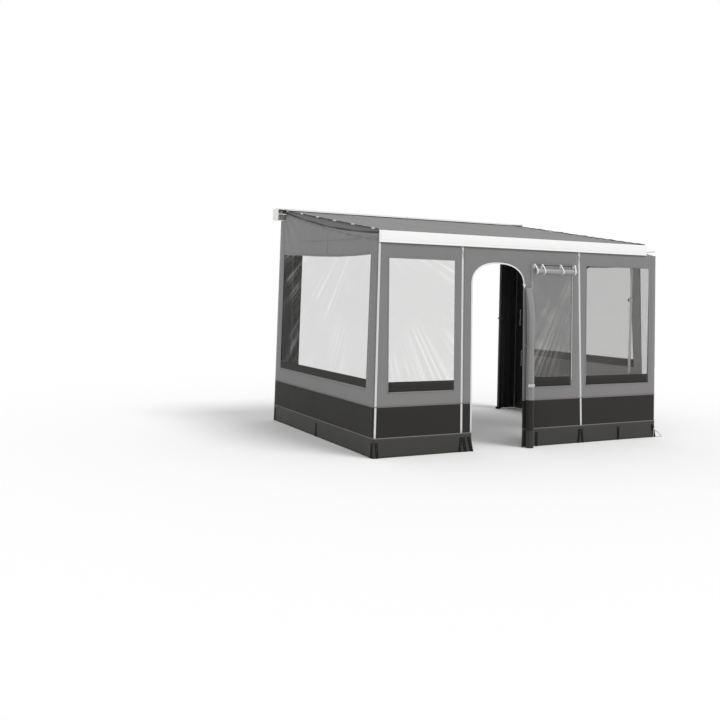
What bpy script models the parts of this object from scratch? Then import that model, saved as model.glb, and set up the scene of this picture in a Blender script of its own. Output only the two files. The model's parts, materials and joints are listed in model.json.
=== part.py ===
"""Wind-out caravan awning with a zip-in wall kit, in metres, +Z up.

The cassette hangs on the caravan's wall at +Y and the lead rail stands out towards -Y. Two spring
arms push the rail out, the roof runs from the roller to the rail, and the walls reach the ground.
"""

import math

import bmesh
import bpy
from mathutils import Vector

# Driving sizes of the roof
RAIL_SPAN = 3.500
PROJECTION = 2.518
ROOF_REAR_HEIGHT = 2.610
RAIL_TOP = 2.226
RAIL_HEIGHT = 0.117
RAIL_DEPTH = 0.060
RAIL_WALL = 0.0022
RAIL_NOSE = 0.017
RAIL_EDGE = 0.008
RAIL_BOW_SHARE = 0.45
RAIL_STEP_SHARE = 0.22
RAIL_CAP = 0.022
CARAVAN_PLANE = 0.115
TOUCH = 0.0003
FABRIC = 0.003
OVERRUN = 0.01

# Slope of the roof and of the plane that the arms fold in
RAIL_BOTTOM = RAIL_TOP - RAIL_HEIGHT
HALF_RAIL = RAIL_SPAN / 2
SLOPE = (ROOF_REAR_HEIGHT - RAIL_TOP) / PROJECTION
TILT = math.atan(SLOPE)
DOWNHILL = Vector((0, -math.cos(TILT), -math.sin(TILT)))
ROOF_NORMAL = Vector((0, -math.sin(TILT), math.cos(TILT)))

# Cassette
HOUSING_HALF = 1.800
HOUSING_WALL = 0.0026
HOUSING_BACK = 0.110
HOUSING_LIP = -0.020
HOUSING_DROP = 0.120
HOUSING_RISE = 0.022
HOUSING_TOP_ROUND = 0.045
HOUSING_BOTTOM_ROUND = 0.020
HOUSING_HOOK = 0.012
CAP_LENGTH = 0.060
CAP_FRONT = -0.062
CAP_ROUND = 0.018
BRACKET_SPAN = 1.520
BRACKET_DROP = 0.030

# Roller
ROLLER_Y = 0.058
ROLLER_RADIUS = 0.034
ROLLER_WALL = 0.002
ROLLER_PLUG = 0.010
ROLLER_GAP = 0.006
ROLLER_SIDES = 24
GUDGEON_RADIUS = 0.008
GUDGEON_REACH = 0.014

# Spring arms, which fold inwards between the cassette and the rail
SHOULDER_X = 1.500
SHOULDER_Y = -0.030
WRIST_SETBACK = 0.045
ARM_DROP = 0.070
ARM_REST = math.radians(12)
ARM_OFFSET = 0.0215
UPPER_WIDTH = 0.040
UPPER_HEIGHT = 0.050
FORE_WIDTH = 0.036
FORE_HEIGHT = 0.042
ARM_ROUND = 0.007
LUG_RADIUS = 0.020
LUG_THICKNESS = 0.008
TONGUE_RADIUS = 0.015
TONGUE_HEIGHT = 0.024
TUBE_START = 0.025
LUG_RUN = 0.006
LUG_INSET = 0.001
PIN_RADIUS = 0.007
PIN_HEAD = 0.011
PIN_HEAD_HEIGHT = 0.003
PIN_SIDES = 20
SEAT_WIDTH = 0.040
SEAT_FOOT = 0.070
SEAT_PLATE = 0.010
SEAT_FOOT_HEIGHT = 0.008
SEAT_FOOT_LIP = 0.018

# Roof rafters
RAFTER_X = 1.715
RAFTER_RADIUS = 0.012
RAFTER_BORE = 0.0105
RAFTER_HINGE_Y = -0.045
RAFTER_HINGE_DROP = 0.050
RAFTER_PIN = 0.005
RAFTER_EYE = 0.011
RAFTER_EYE_WIDTH = 0.018
RAFTER_TIP_GAP = 0.008
RAFTER_TIP_DROP = 0.030
RAFTER_NECK = 0.030
TUBE_SIDES = 16

# Walls
WALL_LEAN_SHARE = 0.0256
LEFT_WALL_X = 1.750
LEFT_LEAN_SHARE = 0.0209
RIGHT_WALL_X = 1.900
RIGHT_LEAN_SHARE = 0.0020
EAVE_DEPTH_REAR = 0.036
EAVE_DEPTH_FRONT = 0.090
EAVE_SAG = 0.027
EAVE_POINTS = 9
WALL_TOP_REAR = -0.070
NOTCH_DROP = 0.020
BAND_TOP = 0.499
BAND_BOTTOM = 0.192

# Front panels, door and windows
PANEL_ZIP_LEFT = -0.767
PANEL_ZIP_RIGHT = 0.741
PANEL_ZIP_SHIFT = 0.056
ZIP_WIDTH = 0.022
ZIP_DEPTH = 0.002
DOOR_LEFT = -0.656
DOOR_RIGHT = -0.005
DOOR_SPRING = 1.725
DOOR_TOP = 1.942
DOOR_ARCH_POINTS = 16
DOOR_ARCH_POWER = 2.3
WINDOW_BOTTOM = 0.740
WINDOW_TOP = 1.957
MIDDLE_WINDOW_TOP = 1.950
LEFT_WINDOW = (-1.633, -0.872)
MIDDLE_WINDOW = (0.117, 0.652)
RIGHT_WINDOW = (0.869, 1.800)
SIDE_WINDOW_REAR = -0.040
SIDE_WINDOW_FRONT = -2.375
SIDE_WINDOW_TOP_REAR = 2.070
SIDE_WINDOW_TOP_FRONT = 2.000
SIDE_WINDOW_BOTTOM = 0.757
PANE = 0.0015

# Door trim, rolls and their ties
PIPING_WIDTH = 0.014
PIPING_DEPTH = 0.006
DOOR_ROLL_X = 0.056
DOOR_ROLL_RADIUS = 0.046
DOOR_ROLL_TOP = 1.700
DOOR_ROLL_BOTTOM = 0.004
DOOR_ROLL_FOLDS = 7
DOOR_ROLL_SIDES = 28
DOOR_ROLL_RINGS = 14
DOOR_ROLL_FOLD_SHARE = 0.10
DOOR_ROLL_WAIST_SHARE = 0.16
DOOR_ROLL_TWIST = 0.25
TIE_HEIGHT = 1.080
TIE_GRIP_SHARE = 0.93
TIE_WIDTH = 0.016
TIE_THICKNESS = 0.0025
BLIND_LEFT = 0.153
BLIND_RIGHT = 0.714
BLIND_HEIGHT = 1.893
BLIND_RADIUS = 0.031
BLIND_SIDES = 18
BLIND_STRAPS = 4
BLIND_STRAP_INSET = 0.045

# Zip sliders
SLIDER_WIDTH = 0.016
SLIDER_HEIGHT = 0.024
SLIDER_DEPTH = 0.007
SLIDER_TOP = 2.060
PULL_WIDTH = 0.007
PULL_LENGTH = 0.036
PULL_DEPTH = 0.002

# Legs
LEG_X = 1.655
LEG_PLANE = -2.448
LEG_PLANE_GAP = 0.046
LEG_PIVOT_DROP = 0.039
LEG_INNER_RADIUS = 0.0115
LEG_OUTER_RADIUS = 0.014
LEG_INNER_WALL = 0.0015
LEG_CLAMP_HEIGHT = 1.590
LEG_INNER_END = 1.100
LEG_TRAVEL = 0.420
LEG_EYE_RADIUS = 0.014
LEG_EYE_WIDTH = 0.016
LEG_PIN_RADIUS = 0.004
LEG_FORK_THICKNESS = 0.004
LEG_FORK_WIDTH = 0.026
LEG_FORK_BASE = 0.004
COLLAR_RADIUS = 0.021
COLLAR_HEIGHT = 0.050
KNOB_RADIUS = 0.019
KNOB_LENGTH = 0.020
KNOB_LOBES = 5
KNOB_LOBE_SHARE = 0.14
KNOB_SECTION_SHARES = ((0, 0.75), (0.2, 1), (0.8, 1), (1, 0.8))
KNOB_SIDES = 40
FOOT_PIVOT = 0.034
FOOT_LENGTH = 0.090
FOOT_WIDTH = 0.044
FOOT_PLATE = 0.006
FOOT_LUG = 0.004
FOOT_LUG_WIDTH = 0.020
FOOT_EYE_RADIUS = 0.010
FOOT_EYE_WIDTH = 0.012
FOOT_ANKLE_SHARE = 0.8

# Uprights and flaps against the caravan
UPRIGHT_X = 1.600
UPRIGHT_Y = 0.066
UPRIGHT_OUTER_RADIUS = 0.0125
UPRIGHT_INNER_RADIUS = 0.010
UPRIGHT_SPLIT = 1.300
UPRIGHT_OVERLAP = 0.250
UPRIGHT_FOOT_RADIUS = 0.028
UPRIGHT_FOOT_HEIGHT = 0.012
UPRIGHT_HEAD_RADIUS = 0.018
UPRIGHT_HEAD_HEIGHT = 0.014
UPRIGHT_TOP_GAP = 0.0003
FLAP_WIDTH = 0.300
FLAP_FRONT = 0.097
FLAP_THICKNESS = 0.006
FLAP_BOTTOM = 0.030
FLAP_FOLD = 0.006
FLAP_FOLDS = 3
FLAP_COLUMNS = 18

# Fittings
CLIP_COUNT = 6
CLIP_FIRST = 0.120
CLIP_LENGTH = 0.060
CLIP_WIDTH = 0.026
CLIP_HEIGHT = 0.010
LADDER_WIDTH = 0.024
LADDER_HEIGHT = 0.130
LADDER_DEPTH = 0.004
LADDER_HOLES = 4
LADDER_RIM = 0.006
LADDER_RUNG_SHARE = 1.2
LADDER_SPREAD_SHARE = 1.4
LADDER_BOTTOM = 0.002
WINCH_X = 1.760
WINCH_WIDTH = 0.050
WINCH_DEPTH = 0.046
WINCH_HEIGHT = 0.032
WINCH_SHAFT = 0.006
WINCH_SHAFT_LENGTH = 0.018
WINCH_EYE_RADIUS = 0.016
WINCH_EYE_BAR = 0.004
WINCH_EYE_SIDES = 20
WINCH_BAR_SIDES = 8
GUY_SPREAD = 0.140
GUY_HEIGHT = 0.105
GUY_ROD = 0.003

# Places worked out from the sizes above
RAIL_FRONT = -PROJECTION - RAIL_NOSE
RAIL_REAR = RAIL_FRONT + RAIL_DEPTH
WRIST_Y = RAIL_REAR + WRIST_SETBACK
ARM_REACH = (SHOULDER_Y - WRIST_Y) / math.cos(TILT)
ARM_LINK = ARM_REACH / 2 / math.cos(ARM_REST)
SHOULDER_Z = ROOF_REAR_HEIGHT + SLOPE * SHOULDER_Y - ARM_DROP
ROLLER_Z = ROOF_REAR_HEIGHT + SLOPE * ROLLER_Y - FABRIC - ROLLER_RADIUS - TOUCH * 4
PLANE_TOP = RAIL_BOTTOM - TOUCH
HOUSING_BOTTOM = ROOF_REAR_HEIGHT - HOUSING_DROP
HOUSING_TOP = ROOF_REAR_HEIGHT + HOUSING_RISE
RAFTER_HINGE_Z = ROOF_REAR_HEIGHT - RAFTER_HINGE_DROP
NOTCH_HEIGHT = HOUSING_BOTTOM - NOTCH_DROP


def roof_height(y):
    return ROOF_REAR_HEIGHT + SLOPE * y


def material(name, colour, roughness, metallic=0.0, alpha=1.0):
    made = bpy.data.materials.new(name)
    made.use_nodes = True
    shader = made.node_tree.nodes["Principled BSDF"]
    shader.inputs["Base Color"].default_value = (*colour, 1)
    shader.inputs["Roughness"].default_value = roughness
    shader.inputs["Metallic"].default_value = metallic
    shader.inputs["Alpha"].default_value = alpha
    made.diffuse_color = (*colour, alpha)
    return made


LOOKS = {
    "white": ((0.86, 0.86, 0.85), 0.35, 0.0, 1.0),
    "alloy": ((0.68, 0.69, 0.70), 0.32, 0.9, 1.0),
    "steel": ((0.55, 0.56, 0.57), 0.30, 1.0, 1.0),
    "plastic": ((0.04, 0.04, 0.04), 0.5, 0.0, 1.0),
    "rubber": ((0.025, 0.025, 0.025), 0.8, 0.0, 1.0),
    "roof": ((0.30, 0.30, 0.29), 0.75, 0.0, 1.0),
    "wall": ((0.22, 0.22, 0.225), 0.85, 0.0, 1.0),
    "band": ((0.032, 0.032, 0.028), 0.85, 0.0, 1.0),
    "film": ((0.80, 0.82, 0.83), 0.08, 0.0, 0.25),
    "trim": ((0.80, 0.80, 0.80), 0.5, 0.0, 1.0),
}


# A body is an empty on its joint's axis, and its pieces are meshed in awning places and then hung on it
class Body:
    def __init__(self, name, pivot, parent=None):
        self.pivot = Vector(pivot)
        self.empty = bpy.data.objects.new(name, None)
        bpy.context.scene.collection.objects.link(self.empty)
        self.empty.location = self.pivot - (parent.pivot if parent else Vector())
        if parent:
            self.empty.parent = parent.empty


def finish(name, mesh, body, look, smooth=40):
    """Turns a bmesh in awning places into the body's object, with its own material."""
    bmesh.ops.remove_doubles(mesh, verts=mesh.verts, dist=TOUCH / 30)
    bmesh.ops.recalc_face_normals(mesh, faces=mesh.faces)
    bmesh.ops.translate(mesh, verts=mesh.verts, vec=-body.pivot)
    data = bpy.data.meshes.new(name)
    mesh.to_mesh(data)
    mesh.free()
    data.shade_smooth()
    data.set_sharp_from_angle(angle=math.radians(smooth))
    made = bpy.data.objects.new(name, data)
    bpy.context.scene.collection.objects.link(made)
    made.parent = body.empty
    data.materials.append(material(name, *LOOKS[look]))
    return made


# Shapes, each added to a bmesh
def side_faces(mesh, rings, closed):
    """Quads between neighbouring rings of vertices, and back to the first ring when closed."""
    pairs = zip(rings, rings[1:] + rings[:1]) if closed else zip(rings, rings[1:])
    for one, other in pairs:
        count = len(one)
        for n in range(count):
            m = (n + 1) % count
            corners = (one[n], one[m], other[m], other[n])
            distinct = list(dict.fromkeys(corners))
            if len(distinct) > 2:
                mesh.faces.new(distinct)


def loft(mesh, rings):
    """A closed body through rings of points, with flat ends."""
    made = [[mesh.verts.new(point) for point in ring] for ring in rings]
    side_faces(mesh, made, False)
    mesh.faces.new(made[0])
    mesh.faces.new(made[-1])


def frame_of(direction):
    """Two directions square to this one and to each other."""
    along = Vector(direction).normalized()
    aside = along.orthogonal().normalized()
    for axis in (Vector((1, 0, 0)), Vector((0, 0, 1))):
        if abs(along.dot(axis)) < math.cos(math.pi / 4):
            aside = (axis - along * along.dot(axis)).normalized()
            break
    return along, aside, along.cross(aside)


def lathe(mesh, origin, direction, profile, sides):
    """Turns a closed profile of (radius, height) pairs round a line. A radius of 0 gives one point."""
    along, aside, across = frame_of(direction)
    columns = []
    for n in range(sides):
        angle = math.tau * n / sides
        outwards = aside * math.cos(angle) + across * math.sin(angle)
        columns.append([Vector(origin) + along * h + outwards * r for r, h in profile])
    tips = {k: mesh.verts.new(columns[0][k]) for k, (r, h) in enumerate(profile) if r == 0}
    rings = [[tips.get(k) or mesh.verts.new(p) for k, p in enumerate(column)] for column in columns]
    for one, other in zip(rings, rings[1:] + rings[:1]):
        for k in range(len(profile)):
            m = (k + 1) % len(profile)
            distinct = list(dict.fromkeys((one[k], one[m], other[m], other[k])))
            if len(distinct) > 2:
                mesh.faces.new(distinct)


def rod(mesh, origin, direction, radius, length, sides=TUBE_SIDES):
    lathe(mesh, origin, direction, [(0, 0), (radius, 0), (radius, length), (0, length)], sides)


def pipe(mesh, origin, direction, radius, wall, length, sides=TUBE_SIDES):
    inner = radius - wall
    lathe(mesh, origin, direction, [(inner, 0), (radius, 0), (radius, length), (inner, length)], sides)


def brick(mesh, low, high):
    (a, b, c), (d, e, f) = low, high
    loft(mesh, [[(a, b, z), (d, b, z), (d, e, z), (a, e, z)] for z in (c, f)])


def slab(mesh, outline, holes, place, near, far):
    """A flat outline with holes, as points (u, v), given thickness from near to far by place(u, v, w)."""
    flat = bmesh.new()
    for loop in [outline, *holes]:
        verts = [flat.verts.new((u, v, 0)) for u, v in loop]
        for one, other in zip(verts, verts[1:] + verts[:1]):
            flat.edges.new((one, other))
    bmesh.ops.triangle_fill(flat, use_beauty=True, use_dissolve=False, edges=flat.edges, normal=(0, 0, 1))
    flat.verts.index_update()
    layers = [[mesh.verts.new(place(v.co.x, v.co.y, w)) for v in flat.verts] for w in (near, far)]
    for face in flat.faces:
        indices = [v.index for v in face.verts]
        mesh.faces.new([layers[0][n] for n in reversed(indices)])
        mesh.faces.new([layers[1][n] for n in indices])
    for edge in flat.edges:
        if len(edge.link_faces) == 1:
            one, other = (v.index for v in edge.verts)
            mesh.faces.new((layers[0][one], layers[0][other], layers[1][other], layers[1][one]))
    flat.free()


def arc(centre, radius, start, stop, points):
    """Points (u, v) on an arc, with its angles in degrees."""
    made = []
    for n in range(points + 1):
        angle = math.radians(start + (stop - start) * n / points)
        made.append((centre[0] + radius * math.cos(angle), centre[1] + radius * math.sin(angle)))
    return made


def round_box(low, high, radius, points=4):
    """A rounded rectangle as points (u, v)."""
    (a, b), (c, d) = low, high
    corners = ((c, d, 0), (a, d, 90), (a, b, 180), (c, b, 270))
    made = []
    for u, v, start in corners:
        centre = (u - math.copysign(radius, u - (a + c) / 2), v - math.copysign(radius, v - (b + d) / 2))
        made += arc(centre, radius, start, start + 90, points)
    return made


def join(name, body, look, builders, side=1, cut=()):
    """Unites shapes with exact Booleans, cuts others away, and mirrors the body for the other side."""

    def scratch(builder, label):
        mesh = bmesh.new()
        builder(mesh)
        bmesh.ops.recalc_face_normals(mesh, faces=mesh.faces)
        data = bpy.data.meshes.new(label)
        mesh.to_mesh(data)
        mesh.free()
        made = bpy.data.objects.new(label, data)
        bpy.context.scene.collection.objects.link(made)
        return made

    whole = scratch(builders[0], name + "_start")
    tools = [(scratch(b, name + "_more"), "UNION") for b in builders[1:]]
    tools += [(scratch(b, name + "_cut"), "DIFFERENCE") for b in cut]
    for tool, operation in tools:
        step = whole.modifiers.new(operation, "BOOLEAN")
        step.operation = operation
        step.solver = "EXACT"
        step.object = tool
    bpy.context.view_layer.update()
    result = bmesh.new()
    result.from_mesh(whole.evaluated_get(bpy.context.evaluated_depsgraph_get()).to_mesh())
    for made in [whole, *(tool for tool, _ in tools)]:
        data = made.data
        bpy.data.objects.remove(made)
        bpy.data.meshes.remove(data)
    if side < 0:
        bmesh.ops.scale(result, vec=(-1, 1, 1), verts=result.verts)
    return finish(name, result, body, look)


# Cassette pieces
def housing_profile():
    """The C section of the cassette, open towards the rail, as points (y, z)."""
    top, bottom, wall = HOUSING_TOP_ROUND, HOUSING_BOTTOM_ROUND, HOUSING_WALL
    low_centre = (HOUSING_BACK - bottom, HOUSING_BOTTOM + bottom)
    high_centre = (HOUSING_BACK - top, HOUSING_TOP - top)
    outer = [(HOUSING_LIP, HOUSING_BOTTOM), *arc(low_centre, bottom, 270, 360, 5)]
    outer += [*arc(high_centre, top, 0, 90, 8), (HOUSING_LIP, HOUSING_TOP)]
    inner = [(HOUSING_LIP, HOUSING_TOP - HOUSING_HOOK), (HOUSING_LIP + wall, HOUSING_TOP - HOUSING_HOOK)]
    inner += [(HOUSING_LIP + wall, HOUSING_TOP - wall), *arc(high_centre, top - wall, 90, 0, 8)]
    inner += [*arc(low_centre, bottom - wall, 360, 270, 5), (HOUSING_LIP, HOUSING_BOTTOM + wall)]
    return outer + inner


def across(u, v, w):
    """Places an outline of (y, z) at x = w."""
    return (w, u, v)


def build_housing(body):
    mesh = bmesh.new()
    slab(mesh, housing_profile(), [], across, -HOUSING_HALF, HOUSING_HALF)
    finish("cassette_housing", mesh, body, "white")


def build_end_cap(name, body, side):
    """An end cap with the roller's gudgeon and the rafter's hinge pin on its inner face."""
    near, far = HOUSING_HALF + TOUCH, HOUSING_HALF + CAP_LENGTH
    plate = far - LUG_THICKNESS
    low, high = (CAP_FRONT, HOUSING_BOTTOM), (HOUSING_BACK, HOUSING_TOP)
    join(
        name,
        body,
        "white",
        [
            lambda m: slab(m, housing_profile(), [], across, near, plate + LUG_INSET),
            lambda m: slab(m, round_box(low, high, CAP_ROUND), [], across, plate, far),
            lambda m: rod(m, (plate + LUG_INSET, ROLLER_Y, ROLLER_Z), (-1, 0, 0), GUDGEON_RADIUS,
                          plate + LUG_INSET - HOUSING_HALF + ROLLER_GAP + GUDGEON_REACH),
            lambda m: rod(m, (plate + LUG_INSET, RAFTER_HINGE_Y, RAFTER_HINGE_Z), (-1, 0, 0), RAFTER_PIN,
                          plate + LUG_INSET - RAFTER_X + RAFTER_EYE_WIDTH / 2 + RAFTER_PIN),
        ],
        side,
    )


def build_wall_rail(body):
    """The mounting rail between the cassette and the caravan, with a lip under the cassette."""
    mesh = bmesh.new()
    front, sole = HOUSING_BACK + TOUCH, HOUSING_BOTTOM - TOUCH
    heel = sole - SEAT_FOOT_HEIGHT
    top = HOUSING_TOP - HOUSING_TOP_ROUND
    outline = [(CARAVAN_PLANE, heel), (CARAVAN_PLANE, top), (front, top), (front, sole)]
    outline += [(front - BRACKET_DROP, sole), (front - BRACKET_DROP, heel)]
    slab(mesh, outline, [], across, -BRACKET_SPAN, BRACKET_SPAN)
    finish("wall_mounting_rail", mesh, body, "alloy")


def build_roller(body):
    mesh = bmesh.new()
    half, bore = HOUSING_HALF - ROLLER_GAP, GUDGEON_RADIUS + TOUCH
    inner = ROLLER_RADIUS - ROLLER_WALL
    profile = [(bore, 0), (ROLLER_RADIUS, 0), (ROLLER_RADIUS, 2 * half), (bore, 2 * half)]
    profile += [(bore, 2 * half - ROLLER_PLUG), (inner, 2 * half - ROLLER_PLUG)]
    profile += [(inner, ROLLER_PLUG), (bore, ROLLER_PLUG)]
    lathe(mesh, (-half, ROLLER_Y, ROLLER_Z), (1, 0, 0), profile, ROLLER_SIDES)
    finish("roller_tube", mesh, body, "roof")


def build_winch(gearbox_body, eye_body):
    top = HOUSING_BOTTOM - TOUCH
    sole = top - WINCH_HEIGHT
    low = (WINCH_X - WINCH_WIDTH / 2, ROLLER_Y - WINCH_DEPTH / 2, sole)
    high = (WINCH_X + WINCH_WIDTH / 2, ROLLER_Y + WINCH_DEPTH / 2, top)
    shaft_top = sole + WINCH_SHAFT_LENGTH
    join(
        "winch_gearbox",
        gearbox_body,
        "white",
        [lambda m: brick(m, low, high)],
        cut=[lambda m: rod(m, (WINCH_X, ROLLER_Y, sole - OVERRUN), (0, 0, 1), WINCH_SHAFT + TOUCH,
                           OVERRUN + WINCH_SHAFT_LENGTH + TOUCH)],
    )
    ring_z = sole - WINCH_SHAFT - WINCH_EYE_RADIUS
    join(
        "winch_eye",
        eye_body,
        "steel",
        [
            lambda m: lathe(m, (WINCH_X, ROLLER_Y, ring_z), (0, 1, 0),
                            arc((WINCH_EYE_RADIUS, 0), WINCH_EYE_BAR, 0, 315, WINCH_BAR_SIDES - 1),
                            WINCH_EYE_SIDES),
            lambda m: rod(m, (WINCH_X, ROLLER_Y, ring_z + WINCH_EYE_RADIUS), (0, 0, 1), WINCH_SHAFT,
                          shaft_top - ring_z - WINCH_EYE_RADIUS, WINCH_EYE_SIDES),
        ],
    )


# Spring arms
def arm_place(x, s, n):
    """A point of the arms' plane: across the awning, out along the slope from the shoulder, and above it."""
    return Vector((x, SHOULDER_Y, SHOULDER_Z)) + s * DOWNHILL + n * ROOF_NORMAL


def link_place(start, angle):
    """Maps (along, inboard, above) of a right-hand link that leaves start at this angle to the slope."""
    sine, cosine = math.sin(angle), math.cos(angle)
    return lambda t, v, n: arm_place(start[0] - t * sine - v * cosine, start[1] + t * cosine - v * sine, n)


ELBOW = (SHOULDER_X - ARM_LINK * math.sin(ARM_REST), ARM_LINK * math.cos(ARM_REST))
UPPER_PLACE = link_place((SHOULDER_X, 0), ARM_REST)
FORE_PLACE = link_place(ELBOW, -ARM_REST)


def ear(at, towards, radius, low, high):
    """A lug's outline: round about a pin at (at, 0) and running to a straight edge at towards."""
    if towards > at:
        return [*arc((at, 0), radius, 90, 270, 10), (towards, low), (towards, high)]
    return [*arc((at, 0), radius, -90, 90, 10), (towards, high), (towards, low)]


def pin_hole(at):
    return arc((at, 0), PIN_RADIUS + TOUCH, 360 / PIN_SIDES, 360, PIN_SIDES - 1)


def build_upper_arm(name, body, side):
    """A round-edged bar with a tongue at the shoulder, a fork at the elbow and the elbow's pin."""
    low, high = ARM_OFFSET - UPPER_WIDTH / 2, ARM_OFFSET + UPPER_WIDTH / 2
    edge = UPPER_HEIGHT / 2 - LUG_INSET
    start, stop = TUBE_START, ARM_LINK - TUBE_START
    tongue = ear(0, start + LUG_RUN, TONGUE_RADIUS, low + LUG_RUN, high - LUG_RUN)
    fork = ear(ARM_LINK, stop - LUG_RUN, LUG_RADIUS, low + LUG_RUN, high - LUG_RUN)
    section = round_box((low, -UPPER_HEIGHT / 2), (high, UPPER_HEIGHT / 2), ARM_ROUND, 3)
    pin_top = edge + PIN_HEAD_HEIGHT
    join(
        name,
        body,
        "white",
        [
            lambda m: loft(m, [[UPPER_PLACE(t, v, n) for v, n in section] for t in (start, stop)]),
            lambda m: slab(m, tongue, [pin_hole(0)], UPPER_PLACE, -TONGUE_HEIGHT / 2, TONGUE_HEIGHT / 2),
            lambda m: slab(m, fork, [], UPPER_PLACE, edge - LUG_THICKNESS, edge),
            lambda m: slab(m, fork, [], UPPER_PLACE, -edge, -edge + LUG_THICKNESS),
            lambda m: rod(m, UPPER_PLACE(ARM_LINK, 0, -edge - PIN_HEAD_HEIGHT), ROOF_NORMAL, PIN_RADIUS,
                          pin_top * 2, PIN_SIDES),
            lambda m: rod(m, UPPER_PLACE(ARM_LINK, 0, edge - LUG_INSET), ROOF_NORMAL, PIN_HEAD,
                          PIN_HEAD_HEIGHT + LUG_INSET * 2, PIN_SIDES),
            lambda m: rod(m, UPPER_PLACE(ARM_LINK, 0, -edge + LUG_INSET), -ROOF_NORMAL, PIN_HEAD,
                          PIN_HEAD_HEIGHT + LUG_INSET * 2, PIN_SIDES),
        ],
        side,
    )


def build_forearm(name, body, side):
    """A slimmer bar with a thick tongue in the elbow's fork and a thin one at the wrist."""
    low, high = ARM_OFFSET - FORE_WIDTH / 2, ARM_OFFSET + FORE_WIDTH / 2
    start, stop = TUBE_START, ARM_LINK - TUBE_START
    thick = UPPER_HEIGHT / 2 - LUG_INSET - LUG_THICKNESS - TOUCH
    elbow = ear(0, start + LUG_RUN, TONGUE_RADIUS, low + LUG_RUN, high - LUG_RUN)
    wrist = ear(ARM_LINK, stop - LUG_RUN, TONGUE_RADIUS, low + LUG_RUN, high - LUG_RUN)
    section = round_box((low, -FORE_HEIGHT / 2), (high, FORE_HEIGHT / 2), ARM_ROUND, 3)
    join(
        name,
        body,
        "white",
        [
            lambda m: loft(m, [[FORE_PLACE(t, v, n) for v, n in section] for t in (start, stop)]),
            lambda m: slab(m, elbow, [pin_hole(0)], FORE_PLACE, -thick, thick),
            lambda m: slab(m, wrist, [pin_hole(ARM_LINK)], FORE_PLACE, -TONGUE_HEIGHT / 2, TONGUE_HEIGHT / 2),
        ],
        side,
    )


def build_arm_seat(name, body, side, wrist):
    """A fork with a pin for an arm's tongue, on the cassette's lower lip or on the back of the rail."""
    centre = ARM_REACH if wrist else 0

    def place(u, v, n):
        return arm_place(SHOULDER_X + u, centre + v, n)

    lug_low, half = TONGUE_HEIGHT / 2 + TOUCH, SEAT_WIDTH / 2
    lug_high = lug_low + LUG_THICKNESS
    pin_half = lug_high + PIN_HEAD_HEIGHT
    axis_z = arm_place(0, centre, 0).z
    if wrist:
        face = RAIL_REAR + TOUCH
        reach = (WRIST_Y - face - SEAT_FOOT_HEIGHT / 2) / math.cos(TILT)
        plate = ((SHOULDER_X - half, face, axis_z - LUG_RADIUS - LUG_THICKNESS),
                 (SHOULDER_X + half, face + SEAT_FOOT_HEIGHT, axis_z + LUG_RADIUS + LUG_THICKNESS))
        solids = [plate]
    else:
        back = SHOULDER_Y + (LUG_RADIUS + TUBE_START * ARM_OFFSET / UPPER_WIDTH) * math.cos(TILT)
        sole = HOUSING_BOTTOM + HOUSING_WALL + TOUCH
        reach = -(back + SEAT_PLATE / 2 - SHOULDER_Y) / math.cos(TILT)
        plate = ((SHOULDER_X - half, back, sole),
                 (SHOULDER_X + half, back + SEAT_PLATE, axis_z + LUG_RADIUS + LUG_THICKNESS))
        foot = ((SHOULDER_X - SEAT_FOOT / 2, -SEAT_FOOT_LIP, sole - TOUCH / 10),
                (SHOULDER_X + SEAT_FOOT / 2, back + SEAT_PLATE - LUG_INSET, sole + SEAT_FOOT_HEIGHT))
        solids = [plate, foot]
    turned = ear(0, abs(reach), LUG_RADIUS, -half + LUG_INSET, half - LUG_INSET)
    outline = [(v, math.copysign(u, u * reach)) for u, v in turned]
    join(
        name,
        body,
        "alloy",
        [
            *(lambda m, s=solid: brick(m, *s) for solid in solids),
            lambda m: slab(m, outline, [], place, lug_low, lug_high),
            lambda m: slab(m, outline, [], place, -lug_high, -lug_low),
            lambda m: rod(m, place(0, 0, -pin_half), ROOF_NORMAL, PIN_RADIUS, pin_half * 2, PIN_SIDES),
        ],
        side,
    )


# Roof and its rafters
def clip_builder(edge, y):
    """A clip that holds the wall's keder over the roof's edge, sewn onto the roof at this place."""
    outline = round_box((edge - CLIP_WIDTH / 2, y - CLIP_LENGTH / 2),
                        (edge + CLIP_WIDTH / 2, y + CLIP_LENGTH / 2), CLIP_HEIGHT / 2, 2)
    return lambda m: slab(m, outline, [], lambda u, v, w: (u, v, roof_height(v) + w), -LUG_INSET, CLIP_HEIGHT)


def build_canopy(body):
    rear, front = ROLLER_Y - ROLLER_RADIUS / 2 + TOUCH, (RAIL_FRONT + RAIL_REAR * 2) / 3
    outline = [(-HALF_RAIL, front), (HALF_RAIL, front), (HALF_RAIL, rear), (-HALF_RAIL, rear)]
    span = PROJECTION - 2 * CLIP_FIRST
    clips = [
        clip_builder(edge, -CLIP_FIRST - span * n / (CLIP_COUNT - 1))
        for edge in (-HALF_RAIL, HALF_RAIL)
        for n in range(CLIP_COUNT)
    ]
    join(
        "roof_canopy",
        body,
        "roof",
        [lambda m: slab(m, outline, [], lambda u, v, w: (u, v, roof_height(v) - w), FABRIC, 0), *clips],
    )


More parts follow.
